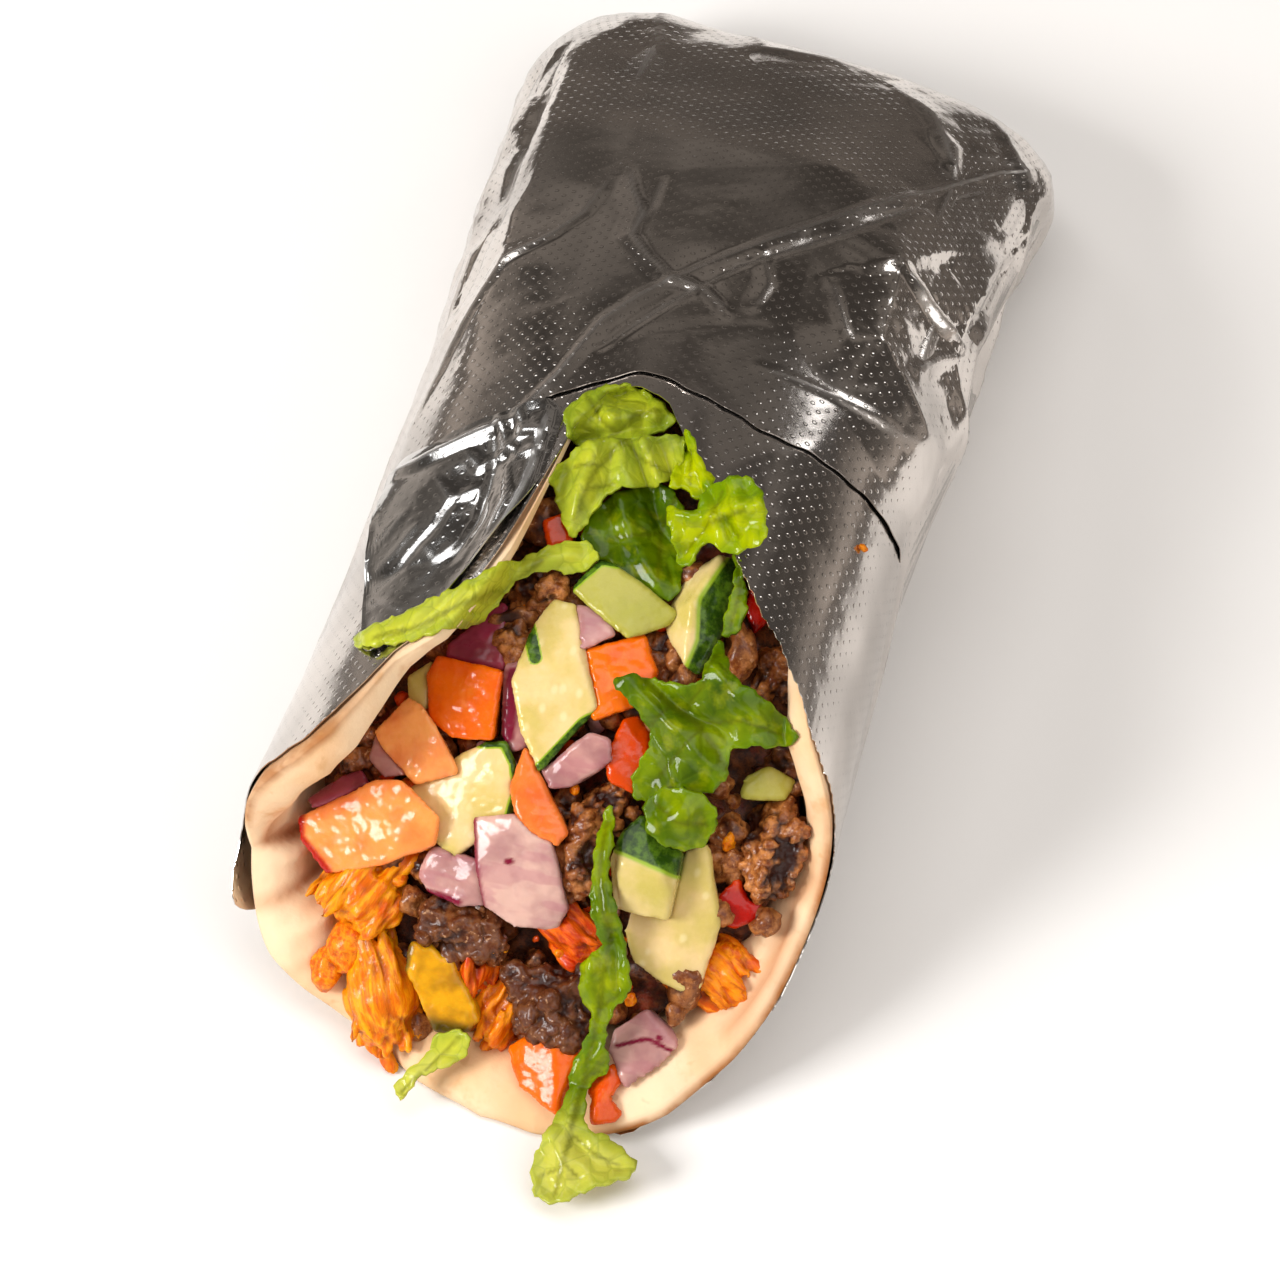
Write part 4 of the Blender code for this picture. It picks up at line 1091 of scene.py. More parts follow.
def grown(node, name, material, count, halves, turn, spread, rng):
    """A solid with many small lumps joined to its faces."""
    obj = copy_of(node, name, material)
    bm = bmesh.new()
    bm.from_mesh(obj.data)
    centre = sum((vert.co for vert in bm.verts), Vector()) / len(bm.verts)
    spots = [vert.co.copy() for vert in bm.verts]
    for vert in bm.verts:
        vert.co = centre + (vert.co - centre) * 0.9
    for _ in range(count):
        spot = rng.choice(spots)
        place = centre + (spot - centre) * rng.uniform(*spread)
        size = rng.uniform(0.7, 1.25)
        wobble = Matrix.Rotation(rng.uniform(-0.35, 0.35), 3, "Z") @ Matrix.Rotation(rng.uniform(-0.3, 0.3), 3, "X")
        add_lump(bm, place / MM + SHIFT, [half * size for half in halves], turn @ wobble)
    bm.to_mesh(obj.data)
    bm.free()
    return obj


def craggy(points, seed):
    """Uneven height of minced meat: soft lumps, cracks between them and fine grains."""
    lumps = rough(points, 4.4, seed, 2)
    cracks = np.abs(rough(points, 2.3, seed + 5, 2))
    grains = rough(points, 0.95, seed + 9, 2)
    return 1.1 * lumps + 1.5 * np.minimum(cracks, 0.35) - 0.35 + 0.3 * grains


def minced_meat(material):
    rng = random.Random(4)
    for seed, (node, (dark, count)) in enumerate(MEAT.items()):
        obj = grown(node, node + "_minced", material, count, (1.9, 2.2, 1.6), mouth_turn(0), (0.7, 0.95), rng)
        soften(obj, 0.4, 1)
        points = places(obj)
        lift = craggy(points, seed)
        move_to(obj, points + normals(obj) * lift[:, None])
        paint(obj, "tone", dark)
        # deep: painted shade, 1 in the cracks where the surface sinks.
        paint(obj, "deep", 1 - step(lift, -0.55, 0.05))
        dress(obj, "meat", node)


def chicken_shreds(material):
    rng = random.Random(9)
    for seed, (node, (red, count, turn)) in enumerate(CHICKEN.items()):
        along = mouth_turn(turn)
        obj = grown(node, node + "_shreds", material, count, (1.1, 4.2, 1.0), along, (0.6, 0.95), rng)
        soften(obj, 0.4, 1)
        points = places(obj)
        fibres = (points @ np.array(along)) * np.array((1.0, 0.14, 1.0))
        strands = rough(fibres, 1.5, seed, 3)
        lift = 0.75 * strands + 0.5 * rough(points, 4.0, seed + 5, 2)
        moved = points + normals(obj) * lift[:, None]
        moved[:, 2] = np.maximum(moved[:, 2], 0.3)
        move_to(obj, moved)
        paint(obj, "tone", red)
        # deep: painted shade, 1 in the cracks between the shreds.
        paint(obj, "deep", 1 - step(lift, -0.5, 0.0))
        paint_vector(obj, "grain", fibres * MM)
        dress(obj, "chicken", node)


def filling_core(material):
    """What shows deep in the gaps: the core's solid, roughened."""
    obj = copy_of("filling", "filling_core", material)
    soften(obj, 1.3, 1)
    points = places(obj)
    out = normals(obj)
    u, v, w = mouth_places(points)
    near = step(w, -26, -10)
    lift = near * (1.0 * rough(points, 3.6, 2, 3) - 0.3) - 0.3
    move_to(obj, points + out * lift[:, None])
    dress(obj, "filling", "filling")


# ---------------------------------------------------------------- leaves

# name, node, tone, pale, thickness, ruffle, outline (u, v), lifts (u, v, lift), veins (width, (u, v) points)
LEAVES = (
    ("lettuce_crown", "lettuce_1", 0.4, 0.2, 0.45, 0.9,
     ((-11, 101), (-8, 105), (-3, 107), (2, 105.5), (5, 103), (3, 101), (0, 98.5), (-7, 95.5), (-10, 98)),
     ((-11, 101, -2.5), (-3, 106, -3.5), (5, 103, -2.5), (-3, 100.5, -0.5), (0, 98, -1.5), (-7, 96, -1.5)),
     ((0.35, ((-3, 99.5), (-1, 102.5), (2, 104))), (0.35, ((-3, 99.5), (-6, 101), (-9, 104))),
      (0.3, ((-3, 99.5), (-5, 97))))),
    ("lettuce_front", "lettuce_1", 0.2, 0.3, 0.45, 0.9,
     ((-7, 96.5), (-3, 98.5), (0, 99), (4, 100.5), (7, 101), (8, 97), (6, 93), (0, 91), (-2, 88), (-4, 83), (-6, 83.5),
      (-10, 90), (-9, 93.5)),
     ((-8, 94, 0.5), (-3, 97, 1.5), (2, 98.5, 0.5), (7, 100, -1.5), (6, 94, 0), (0, 92, 1.5), (-4, 90, 2),
      (-9, 91, 0), (-5, 84, 0)),
     ((0.4, ((-1.5, 98.5), (-4, 93), (-5, 85))), (0.3, ((-1.5, 98), (3, 96), (6, 95))),
      (0.3, ((-3.5, 94), (-7, 93))), (0.3, ((-4.4, 90), (-1, 91.5))))),
    ("lettuce_gloss", "lettuce_2", 0.15, 0.0, 0.5, 1.1,
     ((7, 95), (7, 101), (8, 102), (11, 98), (14, 95), (12, 92), (10, 93), (7, 93)),
     ((8, 101, -2.5), (8, 96, 0), (10, 96, 1.2), (13, 95, 0.2), (10, 93.5, 0.5)),
     ((0.3, ((9, 99), (10, 94))),)),
    ("lettuce_wing", "lettuce_3", 0.2, 0.0, 0.45, 1.0,
     ((8, 90), (12, 90), (12.5, 92), (13, 94), (16, 96), (19, 97), (22, 95), (23.5, 91.5), (24, 88), (21, 86),
      (19, 85), (15, 86), (14, 83.5), (13, 82), (11.5, 82), (10, 85)),
     ((10, 88, 1), (12, 84, 0), (13, 88, 3), (16.5, 90.5, 6), (19, 96, 7), (22, 94, 8.4), (23, 88, 7.6), (18, 86, 5)),
     ((0.35, ((12, 84), (15, 89), (20, 92))), (0.3, ((15, 89), (16, 94))), (0.3, ((17, 90.5), (20, 88))))),
    ("lettuce_shade", "lettuce_4", 0.85, 0.0, 0.45, 0.9,
     ((-3.5, 82), (-3.4, 87), (0, 91), (6, 93.5), (10.5, 89), (12, 82), (12, 77), (7, 77), (2, 79.5)),
     ((-3, 83, -2), (0, 90, -3), (6, 92, -4), (4, 84, -3), (10, 84, -3), (10, 78.5, -1.6), (4, 80, -1.5)),
     ((0.4, ((8, 92), (7, 86), (9, 79))), (0.3, ((7, 86), (1, 84))), (0.3, ((7.4, 88), (3, 89))))),
    ("lettuce_strip", "lettuce_5", -0.1, 0.45, 0.5, 0.7,
     ((-31, 61), (-28, 63.5), (-24, 66), (-20, 69.5), (-17, 72), (-12, 77), (-9, 79.5), (-6, 81.5), (-2, 82.5),
      (0, 80), (-3, 77.2), (-6, 77), (-8.5, 76), (-11, 74), (-12.4, 71), (-14, 68), (-17, 65), (-22, 62),
      (-26, 60.5), (-30, 59.6)),
     ((-30, 60.5, 4), (-26, 62.5, 3.4), (-21, 65.5, 2.6), (-16, 69, 1.8), (-11.5, 74.5, 1.6), (-7, 78.8, 1.4),
      (-2, 80.5, 1)),
     ((0.4, ((-27, 61.5), (-21, 64.5), (-14, 71), (-8, 78))),)),
    ("lettuce_leaf", "lettuce_6", 0.78, 0.0, 0.45, 1.2,
     ((7, 63), (9, 64.8), (12, 65), (16, 65.2), (19, 66), (19.6, 70), (20, 73), (22, 70.5), (24, 68), (28, 66.4),
      (32, 64), (34.5, 62), (35, 60.6), (32, 59), (29, 58.4), (26, 57), (26.4, 54), (25, 51), (22, 49.6), (20, 49),
      (17, 47.6), (14, 47), (12.6, 49.5), (13, 52), (14, 56), (12.6, 58.4), (11, 60)),
     ((8, 63, 2), (14, 62, 3.4), (20, 72, 0.6), (21, 67, 3.6), (27, 64, 4.4), (34, 61, 2), (21, 60, 4.2),
      (19, 54, 3.4), (25, 52, 2.4), (14, 49, 2.2), (19, 48, 3)),
     ((0.55, ((11, 64.6), (15, 62), (20, 60), (23.6, 57), (25.6, 54.5))), (0.3, ((20, 60), (27, 62), (33, 61))),
      (0.3, ((18, 61), (20, 66), (20.4, 70))), (0.3, ((21, 59.4), (18, 54), (16, 50))),
      (0.3, ((16, 61.6), (13.4, 58))))),
    ("lettuce_curl", "lettuce_7", 0.7, 0.0, 0.9, 1.6,
     ((15.6, 46.6), (17, 49.4), (20, 50.4), (24, 50), (26.4, 47.6), (25.8, 44), (23.6, 41.8), (20, 41.4), (17, 43)),
     ((16, 46.6, 3), (19, 49.6, 4.4), (21.5, 46, 6.2), (25.6, 47, 4), (21, 42, 4.4)),
     ((0.35, ((17, 47.4), (21, 45.4), (25, 46))),)),
    ("lettuce_stalk", "lettuce_8", 0.6, 0.0, 0.6, 0.6,
     ((19, 85.6), (20.6, 85), (22, 81.5), (23.2, 78), (22.6, 74), (20.4, 73.4), (20, 77), (20, 81)),
     ((20, 85.6, 0), (21.4, 81.5, 0.8), (21.8, 77.5, 1.6), (21.2, 74.4, 1.4)),
     ((0.35, ((20, 85), (21.4, 80), (21.4, 75))),)),
    ("lettuce_ribbon", "lettuce_9", 0.66, 0.0, 0.5, 0.9,
     ((10, 45), (11, 45.4), (12.4, 40.5), (12.8, 35.4), (15.5, 30), (17, 26), (18.7, 21.8), (19, 19), (17.4, 16.6),
      (16.8, 13.6), (17, 11), (18, 7.5), (15.6, 4.5), (16, 1), (17, -1.5), (19.4, -1.8), (22, -3), (25.5, -5),
      (25, -7), (23.6, -8), (20, -10), (16, -13), (12.4, -13), (10.8, -10.4), (10.2, -7.7), (11.4, -3), (12.5, 2),
      (12.2, 6.4), (13.7, 11.7), (14, 15), (12, 17), (11.6, 18.6), (11.3, 22), (13.3, 25), (12.4, 27), (10.6, 31),
      (10, 36), (9.6, 41)),
     ((10.4, 45, 3), (11.2, 38, 3.6), (12, 33, 3), (14.5, 28, 3.8), (15.2, 22, 4.4), (14.8, 15, 3.6), (15, 8, 3.4),
      (14.2, 2.5, 2.4), (14.6, -1.8, 1.9), (17, -5, 0.2), (23, -6, -1), (16, -12, -3.6), (11.4, -8, -1.6)),
     ((0.4, ((10.8, 43), (11.6, 35), (14.4, 27), (15, 19), (15, 10), (14.4, 2), (15, -6), (15, -12))),
      (0.25, ((15, -3), (19, -5), (23, -6))), (0.25, ((14.8, 16), (17.6, 19))), (0.25, ((14.6, 6), (17, 7))),
      (0.25, ((14.9, -7), (18, -9))), (0.25, ((14.9, -8), (12, -10))))),
    ("lettuce_tip", "lettuce_10", 0.0, 0.55, 0.5, 0.6,
     ((-9, 6), (-6.6, 7.6), (-4, 8), (-3, 6), (-4, 3.6), (-6, 2), (-9, 0), (-10.2, -2), (-11, -4), (-13, -3),
      (-12.4, -1), (-11, 1), (-9.4, 3.4)),
     ((-8, 6, 2.2), (-4, 7, 2.6), (-6.6, 4, 2.6), (-9, 1, 1.6), (-12, -3.4, -0.4)),
     ((0.3, ((-5, 7), (-8, 2), (-11.6, -3))),)),
)


# leaf, folds: height, width, route (u, v)
LEAF_FOLDS = {
    "lettuce_crown": (
        (1.2, 2.4, ((-10, 99), (-5, 102), (1, 103.5))), (-1.1, 1.6, ((-8, 97), (-3, 99.5), (3, 102))),
        (0.9, 1.5, ((-7, 104), (-4, 101), (-4, 98))), (-0.8, 1.4, ((0, 105), (0, 101), (2, 99.6))),
    ),
    "lettuce_front": (
        (-1.9, 1.8, ((-0.5, 98.8), (2, 95), (4.4, 91.6))), (1.5, 2.2, ((-5, 96.4), (-5.4, 90), (-5, 84))),
        (-1.3, 1.5, ((3.6, 99.4), (5.6, 96.4), (7.4, 94))), (1.3, 1.7, ((1.4, 98.6), (4.4, 95), (6, 93))),
        (-0.8, 1.4, ((-2.6, 96), (-1.6, 92), (-3, 87))),
    ),
    "lettuce_wing": (
        (1.3, 2.2, ((10, 89), (14, 89.5), (18, 92), (22, 93))), (-1.0, 1.6, ((13.6, 94), (15.6, 91.6), (19, 88))),
        (0.9, 1.6, ((16.6, 95.6), (18.4, 93), (19.4, 90))),
    ),
    "lettuce_shade": ((1.4, 2.4, ((0, 90), (3, 85), (9, 79))), (-1.3, 1.8, ((4, 92), (6.6, 87), (11, 84)))),
    "lettuce_leaf": (
        (1.2, 2.6, ((9, 63.6), (14, 60.4), (18, 58), (24, 54))), (-0.9, 1.6, ((12, 64.6), (18, 61.4), (25, 59.6))),
        (1.0, 2.2, ((20, 70), (24, 65.6), (31, 61.8))), (-0.8, 1.6, ((14, 57), (17, 54), (19, 50))),
    ),
    "lettuce_strip": ((0.9, 1.5, ((-28, 61.6), (-22, 64.4), (-16, 69.4), (-11, 76), (-4, 80.4))),),
    "lettuce_ribbon": (
        (1.3, 1.6, ((11.6, 42), (12, 34), (14.4, 28))), (-1.1, 1.4, ((14.4, 29), (16, 24), (17, 20))),
        (1.2, 1.6, ((12.6, 23), (13, 19), (15.4, 14))), (1.0, 1.5, ((16.4, 10), (14, 5), (14, -1))),
        (1.0, 2.4, ((12, -4), (15, -7), (16, -12))), (-0.7, 1.6, ((16, -4), (20, -7), (23, -6))),
    ),
}
# leaf, height in the mouth where it starts to turn pale, and where it is palest
PALE_ENDS = {"lettuce_ribbon": (4, -6), "lettuce_tip": (6, -2), "lettuce_leaf": (72, 78)}


def closed_curve(outline, spacing):
    """Evenly spaced points on a smooth closed curve through an outline."""
    count = len(outline)
    dense = []
    for i in range(count):
        before, start, end, after = (Vector(outline[(i + k) % count]) for k in (-1, 0, 1, 2))
        pieces = max(2, int((end - start).length / 0.2))
        for k in range(pieces):
            s = k / pieces
            dense.append(0.5 * (2 * start + (end - before) * s + (2 * before - 5 * start + 4 * end - after) * s * s
                                + (3 * start - before - 3 * end + after) * s ** 3))
    kept = [dense[0]]
    for point in dense[1:]:
        if (point - kept[-1]).length >= spacing:
            kept.append(point)
    if (kept[-1] - kept[0]).length < spacing * 0.6:
        kept.pop()
    return kept


def inside(a, b, outline):
    """Whether points lie inside a closed outline."""
    within = np.zeros(len(a), bool)
    for (a0, b0), (a1, b1) in zip(outline, outline[1:] + outline[:1]):
        crosses = (b0 > b) != (b1 > b)
        if b1 != b0:
            within ^= crosses & (a < (a1 - a0) * (b - b0) / (b1 - b0) + a0)
    return within


def leaf_net(outline, spacing, rng):
    """Flat net of triangles that fills an outline."""
    edge = [(p.x, p.y) for p in closed_curve(outline, spacing)]
    jagged = []
    for i, (a, b) in enumerate(edge):
        wave = 0.22 * math.sin(i * 1.3) + 0.16 * math.sin(i * 2.9 + 1)
        ahead, behind = edge[(i + 1) % len(edge)], edge[i - 1]
        run = Vector((ahead[0] - behind[0], ahead[1] - behind[1])).normalized()
        jagged.append((a - run.y * wave, b + run.x * wave))
    low = np.min(jagged, axis=0)
    high = np.max(jagged, axis=0)
    grid = [(a + rng.uniform(-0.15, 0.15) * spacing, b + rng.uniform(-0.15, 0.15) * spacing)
            for j, b in enumerate(np.arange(low[1], high[1], spacing * 0.87))
            for a in np.arange(low[0] + (j % 2) * spacing / 2, high[0], spacing)]
    a = np.array([g[0] for g in grid])
    b = np.array([g[1] for g in grid])
    keep = inside(a, b, jagged) & (near_route(a, b, jagged + jagged[:1])[0] > spacing * 0.55)
    points = [Vector(p) for p in jagged] + [Vector((x, y)) for x, y, k in zip(a, b, keep) if k]
    ring = [(i, (i + 1) % len(jagged)) for i in range(len(jagged))]
    made = geometry.delaunay_2d_cdt(points, ring, [], 1, 1e-5)
    return np.array([tuple(p) for p in made[0]]), [tuple(face) for face in made[2]], jagged


def wrap_tree(*objects):
    """Search tree of the wrap's own faces, for leaves to lie on."""
    points = []
    faces = []
    for obj in objects:
        start = len(points)
        points += [Vector(point) for point in places(obj)]
        faces += [[start + k for k in polygon.vertices] for polygon in obj.data.polygons]
    return BVHTree.FromPolygons(points, faces)


LEAF_REST = 0.5  # least height of a leaf's middle over the floor


def resting(tree, u, v, lift):
    """Point of a leaf over the heap, or over the bread and foil where they stand higher."""
    point = heap_point(u, v, lift)
    out = mouth_point(0, 0, 1) - mouth_point(0, 0, 0)
    start = point + out * 45
    hit, _, _, distance = tree.ray_cast(start, -out, 45 + 1)
    if hit is None:
        return point
    return point + out * max(0.0, 45 - distance + 0.7)


def off_floor(point):
    """The same point, held just above the floor."""
    return Vector((point[0], point[1], max(point[2], LEAF_REST)))


def leaf_sheet(row, material, tree, rng):
    """A leaf laid over the heap, with veins, folds between them and a ruffled edge."""
    name, node, tone, pale, thickness, ruffle, outline, lifts, veins = row
    flat, faces, border = leaf_net(outline, 0.5, rng)
    u, v = flat[:, 0], flat[:, 1]
    spots = np.array(lifts, float)
    weights = 1 / (np.hypot(u[:, None] - spots[:, 0], v[:, None] - spots[:, 1]) ** 2.4 + 0.4)
    lift = (weights * spots[:, 2]).sum(axis=1) / weights.sum(axis=1)
    edge = 1 - step(near_route(u, v, border + border[:1])[0], 0, 2.6)
    vein = np.zeros(len(u))
    trough = np.zeros(len(u))
    for width, route in veins:
        distance = near_route(u, v, route)[0]
        vein = np.maximum(vein, 1 - step(distance, width * 0.3, width * 1.5))
        trough = np.maximum(trough, np.exp(-(distance / 1.3) ** 2))
    flat3 = np.stack((u, v, np.full(len(u), tone * 9)), axis=-1)
    waves = rough(flat3, 6.5, tone * 10 + 1, 1)
    small = rough(flat3, 2.6, tone * 10 + 4, 1)
    lift = lift + ruffle * (0.6 + 1.3 * edge) * waves + 0.3 * small - 0.35 * trough
    for height, width, route in LEAF_FOLDS.get(name, ()):
        lift = lift + 1.25 * height * np.clip(1 - near_route(u, v, route)[0] / width, 0, 1) ** 1.2
    if name in PALE_ENDS:
        start, end = PALE_ENDS[name]
        pale = pale + 0.75 * step((v - start) / (end - start), 0, 1)
    points = [off_floor(resting(tree, a, b, c)) for a, b, c in zip(u, v, lift)]
    obj = new_object(name, points, faces, material)
    face_out(obj)
    for key, values in (("tone", tone + 0.2 * waves), ("pale", pale), ("edge", edge), ("vein", vein)):
        paint(obj, key, values)
    smooth = obj.modifiers.new("smooth", "SMOOTH")
    smooth.iterations = 2
    solidify = obj.modifiers.new("thickness", "SOLIDIFY")
    solidify.thickness = thickness * MM
    solidify.offset = 0.0
    apply_modifiers(obj)
    dress(obj, "lettuce", node)


# ---------------------------------------------------------------- loose bits

# name, slot, count, smallest and largest size, colour tone
BITS = (
    ("meat_crumbs", "meat", 190, 0.8, 2.9, 0.3),
    ("chicken_bits", "chicken", 60, 0.5, 1.5, 0.3),
    ("onion_bits", "onion", 34, 0.6, 1.6, 0.3),
    ("tomato_bits", "tomato", 40, 0.6, 1.7, 0.7),
)


# bits seen one by one in the picture: place in the mouth, height over the core, half sizes
PLACED_BITS = {
    "meat_crumbs": ((22.8, 71.7, 2.5, (2.4, 4.2, 2.4)), (35, 34, 3.0, (1.8, 2.2, 1.6)), (-21, 63, 1.5, (2.4, 2.0, 1.6))),
    "chicken_bits": ((-25, 16, 4.2, (3.2, 4.2, 2.4)), (-27.5, 12, 4.6, (2.4, 3.6, 2.0)), (-2.7, 21, 5.5, (1.8, 1.5, 1.4)), (-9.5, 84, 2.5, (1.2, 2.4, 1.2)), (31, 28, 1.0, (2.0, 1.6, 1.4))),
}


FOIL_SPECK = (59.0, 79.0, -0.5)  # the one yellow crumb on the foil: angle, y and depth under the surface
BARE_LEAVES = ((5, 85, 9), (-4, 98, 8))  # leaves no crumbs lie on: place and reach


def core_height(u, v):
    """Height of the core's surface in the mouth."""
    return heap_height(u, v) - 7


def in_mouth(u, v):
    """Whether a place lies over the filling and not over the bread."""
    across = 31.0
    if v < 34:
        across = 31.0 * math.sqrt(max(0.0, 1 - ((34 - v) / 32) ** 2))
    if v > 52:
        across = min(across, 31.0 - (v - 52) * 0.5)
    return abs(u) < across


def loose_bits(finishes):
    """Crumbs that fill the gaps between the larger pieces, one object for each kind."""
    rng = random.Random(31)
    for name, slot, count, small, large, tone in BITS:
        bm = bmesh.new()
        placed = 0
        while placed < count:
            u, v = rng.uniform(-34, 34), rng.uniform(-4, 98)
            if not in_mouth(u, v):
                continue
            size = rng.uniform(small, large)
            middle = mouth_point(u, v, core_height(u, v) + rng.uniform(0.2, 3.6))
            turn = Matrix.Rotation(rng.uniform(0, 6.28), 3, "Z") @ Matrix.Rotation(rng.uniform(0, 3.14), 3, "X")
            halves = [size * rng.uniform(0.7, 1.3) for _ in range(3)]
            if all(math.hypot(u - place[0], v - place[1]) > place[2] for place in BARE_LEAVES):
                add_lump(bm, middle, halves, turn, 3)
            placed += 1
        for u, v, rise, halves in PLACED_BITS.get(name, ()):
            add_lump(bm, mouth_point(u, v, core_height(u, v) + rise), halves, mouth_turn(0), 3)
        if name == "chicken_bits":
            angle, y, under = FOIL_SPECK
            add_lump(bm, Vector(wrap_points(np.array([angle]), y, under)[0]), (0.8, 0.6, 0.4), mouth_turn(0), 3)
        mesh = bpy.data.meshes.new(name)
        bm.to_mesh(mesh)
        bm.free()
        mesh.shade_smooth()
        mesh.materials.append(finishes[slot])
        obj = bpy.data.objects.new(name, mesh)
        bpy.context.scene.collection.objects.link(obj)
        points = places(obj)
        lift = craggy(points, tone) if slot == "meat" else 0.5 * rough(points, 1.8, tone, 3)
        moved = points + normals(obj) * lift[:, None]
        moved[:, 2] = np.maximum(moved[:, 2], 0.3)
        move_to(obj, moved)
        paint(obj, "tone", tone)
        # deep: painted shade in the cracks of the meat and chicken bits.
        paint(obj, "deep", 1 - step(lift, -0.55, 0.05))
        paint_vector(obj, "grain", points * MM)
        dress(obj, slot)


# ---------------------------------------------------------------- studio

def soft_box(name, place, size, power, aim=Vector((0, 0, 0.03))):
    data = bpy.data.lights.new(name, "AREA")
    data.shape = "RECTANGLE"
    data.size, data.size_y = size
    data.energy = power
    lamp = bpy.data.objects.new(name, data)
    lamp.location = place
    lamp.rotation_mode = "QUATERNION"
    lamp.rotation_quaternion = (aim - Vector(place)).to_track_quat("-Z", "Y")
    bpy.context.scene.collection.objects.link(lamp)


def black_flag():
    """Low black card behind the wrap, seen only in its reflections, as a photographer darkens metal."""
    bpy.ops.mesh.primitive_plane_add(size=1.0, location=(0, 0.17, 0.022), rotation=(math.radians(90), 0, 0))
    card = bpy.context.object
    card.name = "black_flag"
    card.scale = (1.2, 0.05, 1.0)
    card.visible_camera = False
    card.visible_diffuse = False
    card.visible_shadow = False
    f = Finish("black_flag", Specular_IOR_Level=0.0, Roughness=1.0)
    glow = f.mix(f.span(f.noise(26.0, 2.0, 0.5, f.stretched((1.0, 1.0, 0.4))), 0.36, 0.64), (56, 51, 47), (124, 116, 109))
    f.links.new(glow, f.shader.inputs["Emission Color"])
    f.shader.inputs["Emission Strength"].default_value = 1.0
    card.data.materials.append(f.done(f.mix(f.noise(100.0), (6, 6, 6), (9, 9, 9))))


def floor():
    bpy.ops.mesh.primitive_circle_add(vertices=96, radius=0.8, fill_type="NGON", location=(0, 0, -0.0003))
    disc = bpy.context.object
    disc.name = "studio_floor"
    f = Finish("studio_floor", Specular_IOR_Level=0.1)
    tint = f.mix(f.noise(400.0, 2.0), (246, 243, 240), (244, 241, 238))
    f.shader.inputs["Roughness"].default_value = 0.9
    disc.data.materials.append(f.done(tint))


def studio_sky():
    """Dark warm room above and behind, paler towards the horizon at the sides and in front."""
    world = bpy.data.worlds.new("studio")
    bpy.context.scene.world = world
    world.use_nodes = True
    tree = world.node_tree
    background = tree.nodes["Background"]
    place = tree.nodes.new("ShaderNodeTexCoord")
    split = tree.nodes.new("ShaderNodeSeparateXYZ")
    tree.links.new(place.outputs["Generated"], split.inputs[0])

    def span(socket, low, high, to_low=1.0, to_high=0.0):
        made = tree.nodes.new("ShaderNodeMapRange")
        made.interpolation_type = "SMOOTHSTEP"
        made.inputs["From Min"].default_value = low
        made.inputs["From Max"].default_value = high
        made.inputs["To Min"].default_value = to_low
        made.inputs["To Max"].default_value = to_high
        tree.links.new(socket, made.inputs["Value"])
        return made.outputs["Result"]

    both = tree.nodes.new("ShaderNodeMath")
    both.operation = "MULTIPLY"
    tree.links.new(span(split.outputs["Z"], SKY_LOW, SKY_HIGH), both.inputs[0])
    tree.links.new(span(split.outputs["Y"], 0.62, 0.95), both.inputs[1])

    def mix(share, first, second):
        made = tree.nodes.new("ShaderNodeMix")
        made.data_type = "RGBA"
        for colour, socket in ((first, made.inputs["A"]), (second, made.inputs["B"])):
            if isinstance(colour, tuple):
                socket.default_value = (*colour, 1.0)
            else:
                tree.links.new(colour, socket)
        tree.links.new(share, made.inputs["Factor"])
        return made.outputs["Result"]

    cloud = tree.nodes.new("ShaderNodeTexNoise")
    cloud.inputs["Scale"].default_value = SKY_CLOUDS
    cloud.inputs["Detail"].default_value = 2.0
    tree.links.new(place.outputs["Generated"], cloud.inputs["Vector"])
    cloudy = mix(span(cloud.outputs["Fac"], 0.38, 0.62), SKY_DARK, SKY_GREY)
    front = tree.nodes.new("ShaderNodeMath")
    front.operation = "MULTIPLY"
    tree.links.new(span(split.outputs["Y"], 0.05, 0.5), front.inputs[0])
    tree.links.new(span(split.outputs["X"], -0.6, -0.3, 0.0, 1.0), front.inputs[1])
    upper = mix(front.outputs[0], cloudy, SKY_FRONT)
    tree.links.new(mix(both.outputs[0], upper, SKY_PALE), background.inputs["Color"])
    background.inputs["Strength"].default_value = 1.0


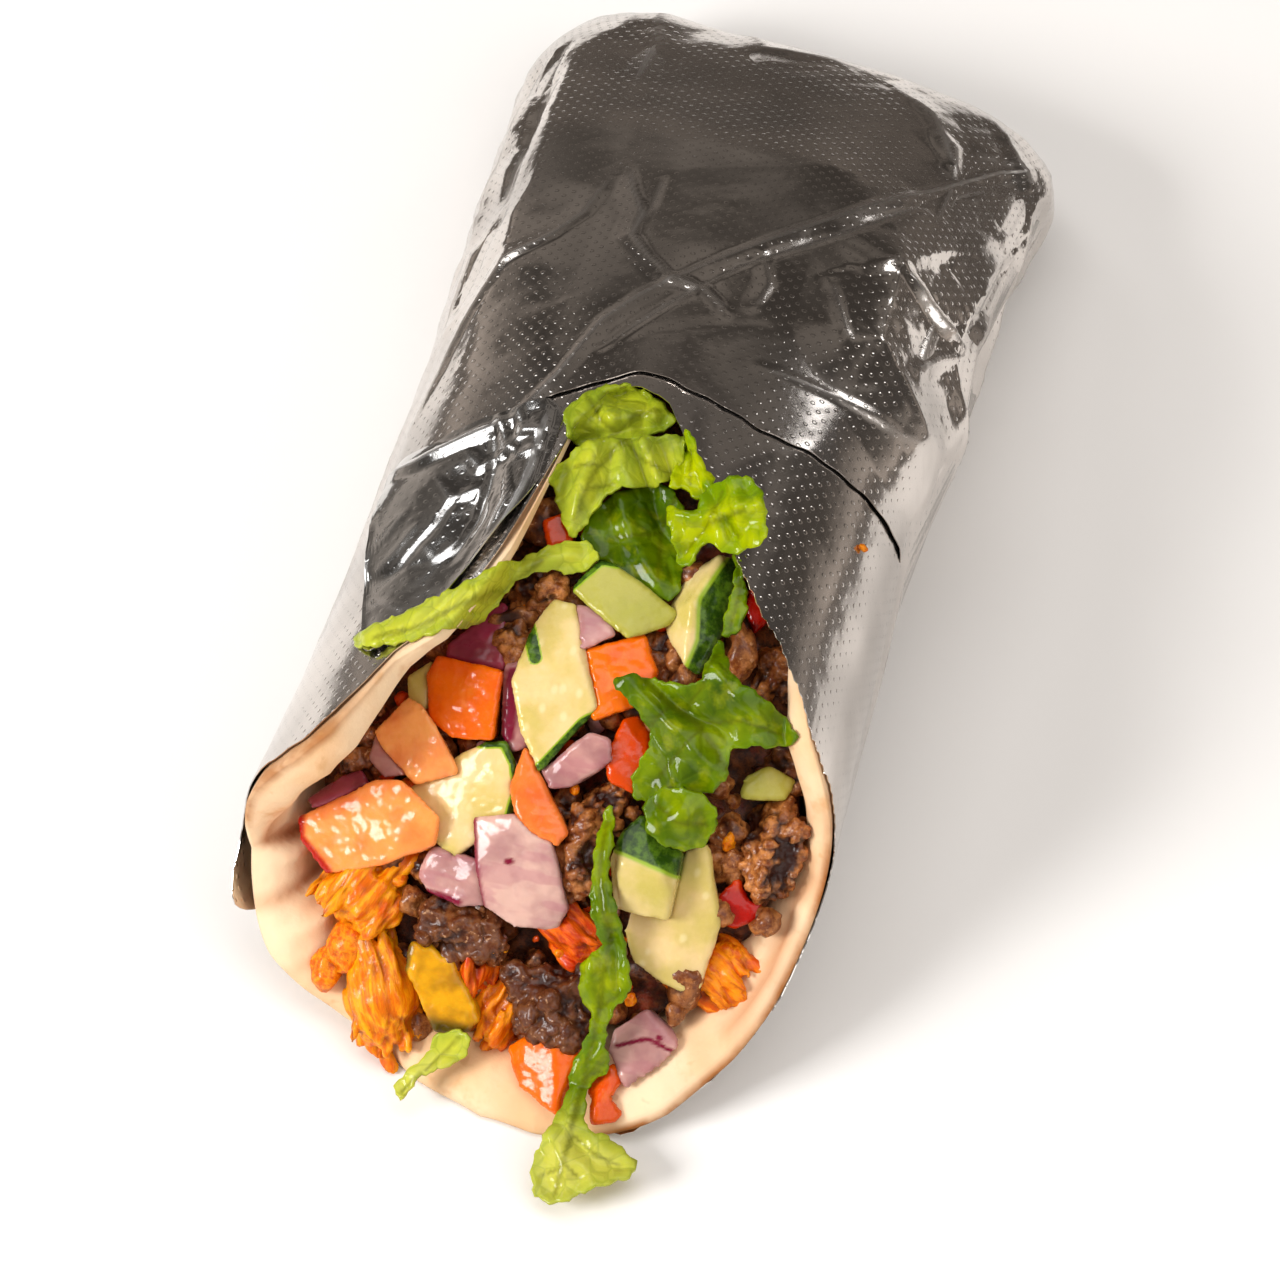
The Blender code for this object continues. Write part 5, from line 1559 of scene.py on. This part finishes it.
def camera():
    back = Vector((math.sin(CAMERA_AZIMUTH) * math.cos(CAMERA_ELEVATION),
                   -math.cos(CAMERA_AZIMUTH) * math.cos(CAMERA_ELEVATION), math.sin(CAMERA_ELEVATION)))
    right = Vector((math.cos(CAMERA_AZIMUTH), math.sin(CAMERA_AZIMUTH), 0))
    up = back.cross(right)
    eye = CAMERA_TARGET + back * CAMERA_DISTANCE
    aim = CAMERA_TARGET + right * CAMERA_AIM[0] + up * CAMERA_AIM[1]
    data = bpy.data.cameras.new("camera")
    data.lens = CAMERA_LENS
    data.sensor_width = 36
    data.clip_start = 0.01
    data.clip_end = 20
    obj = bpy.data.objects.new("camera", data)
    obj.location = (eye - SHIFT) * MM
    obj.rotation_mode = "QUATERNION"
    obj.rotation_quaternion = (aim - eye).to_track_quat("-Z", "Y")
    bpy.context.scene.collection.objects.link(obj)
    bpy.context.scene.camera = obj


def studio():
    floor()
    studio_sky()
    black_flag()
    soft_box("key", (-0.8, -0.74, 0.72), (0.46, 0.46), 15.0)
    soft_box("fill", (0.85, -0.35, 0.9), (1.0, 1.0), 4.6)
    soft_box("overhead", (0.0, 0.0, 1.35), (1.2, 0.7), 6.0)
    soft_box("flap_light", (-0.76, 0.45, 0.85), (0.34, 0.3), 1.2)
    soft_box("patch_light", (0.575, 0.96, 0.53), (0.15, 0.15), 0.4)
    scene = bpy.context.scene
    scene.view_settings.view_transform = "Standard"
    scene.view_settings.look = "None"


def main():
    camera()
    studio()
    embossed = foil_finish("foil_embossed", (222, 215, 209), (0.13, 0.22), 0.03)
    shiny = foil_finish("foil_shiny", (230, 228, 226), (0.09, 0.16), 0.012)
    tube = dress(foil_tube(embossed), "foil", "foil")
    cover = dress(foil_layer("foil_cover", COVER, 0.3, 0.9, 0.55, 0.12, (), 0.0, embossed), "foil", "foil")
    flap = dress(foil_layer("foil_flap", FLAP, 0.35, 0.0, 0.42, 0.25, FLAP_CREASES, 0.07, shiny), "foil", "foil")
    bread = dress(pita_bread(pita_finish()), "pita", "pita")
    finishes = {
        "tomato": tomato_finish(), "cucumber": cucumber_finish(), "onion": onion_finish(),
        "pepper": pepper_finish(), "meat": meat_finish(), "chicken": chicken_finish(),
    }
    diced_vegetables(finishes)
    minced_meat(finishes["meat"])
    chicken_shreds(finishes["chicken"])
    filling_core(core_finish())
    rng = random.Random(12)
    leaf_material = lettuce_finish()
    tree = wrap_tree(tube, cover, flap, bread)
    for row in LEAVES:
        leaf_sheet(row, leaf_material, tree, rng)
    loose_bits(finishes)


main()
bpy.context.view_layer.update()
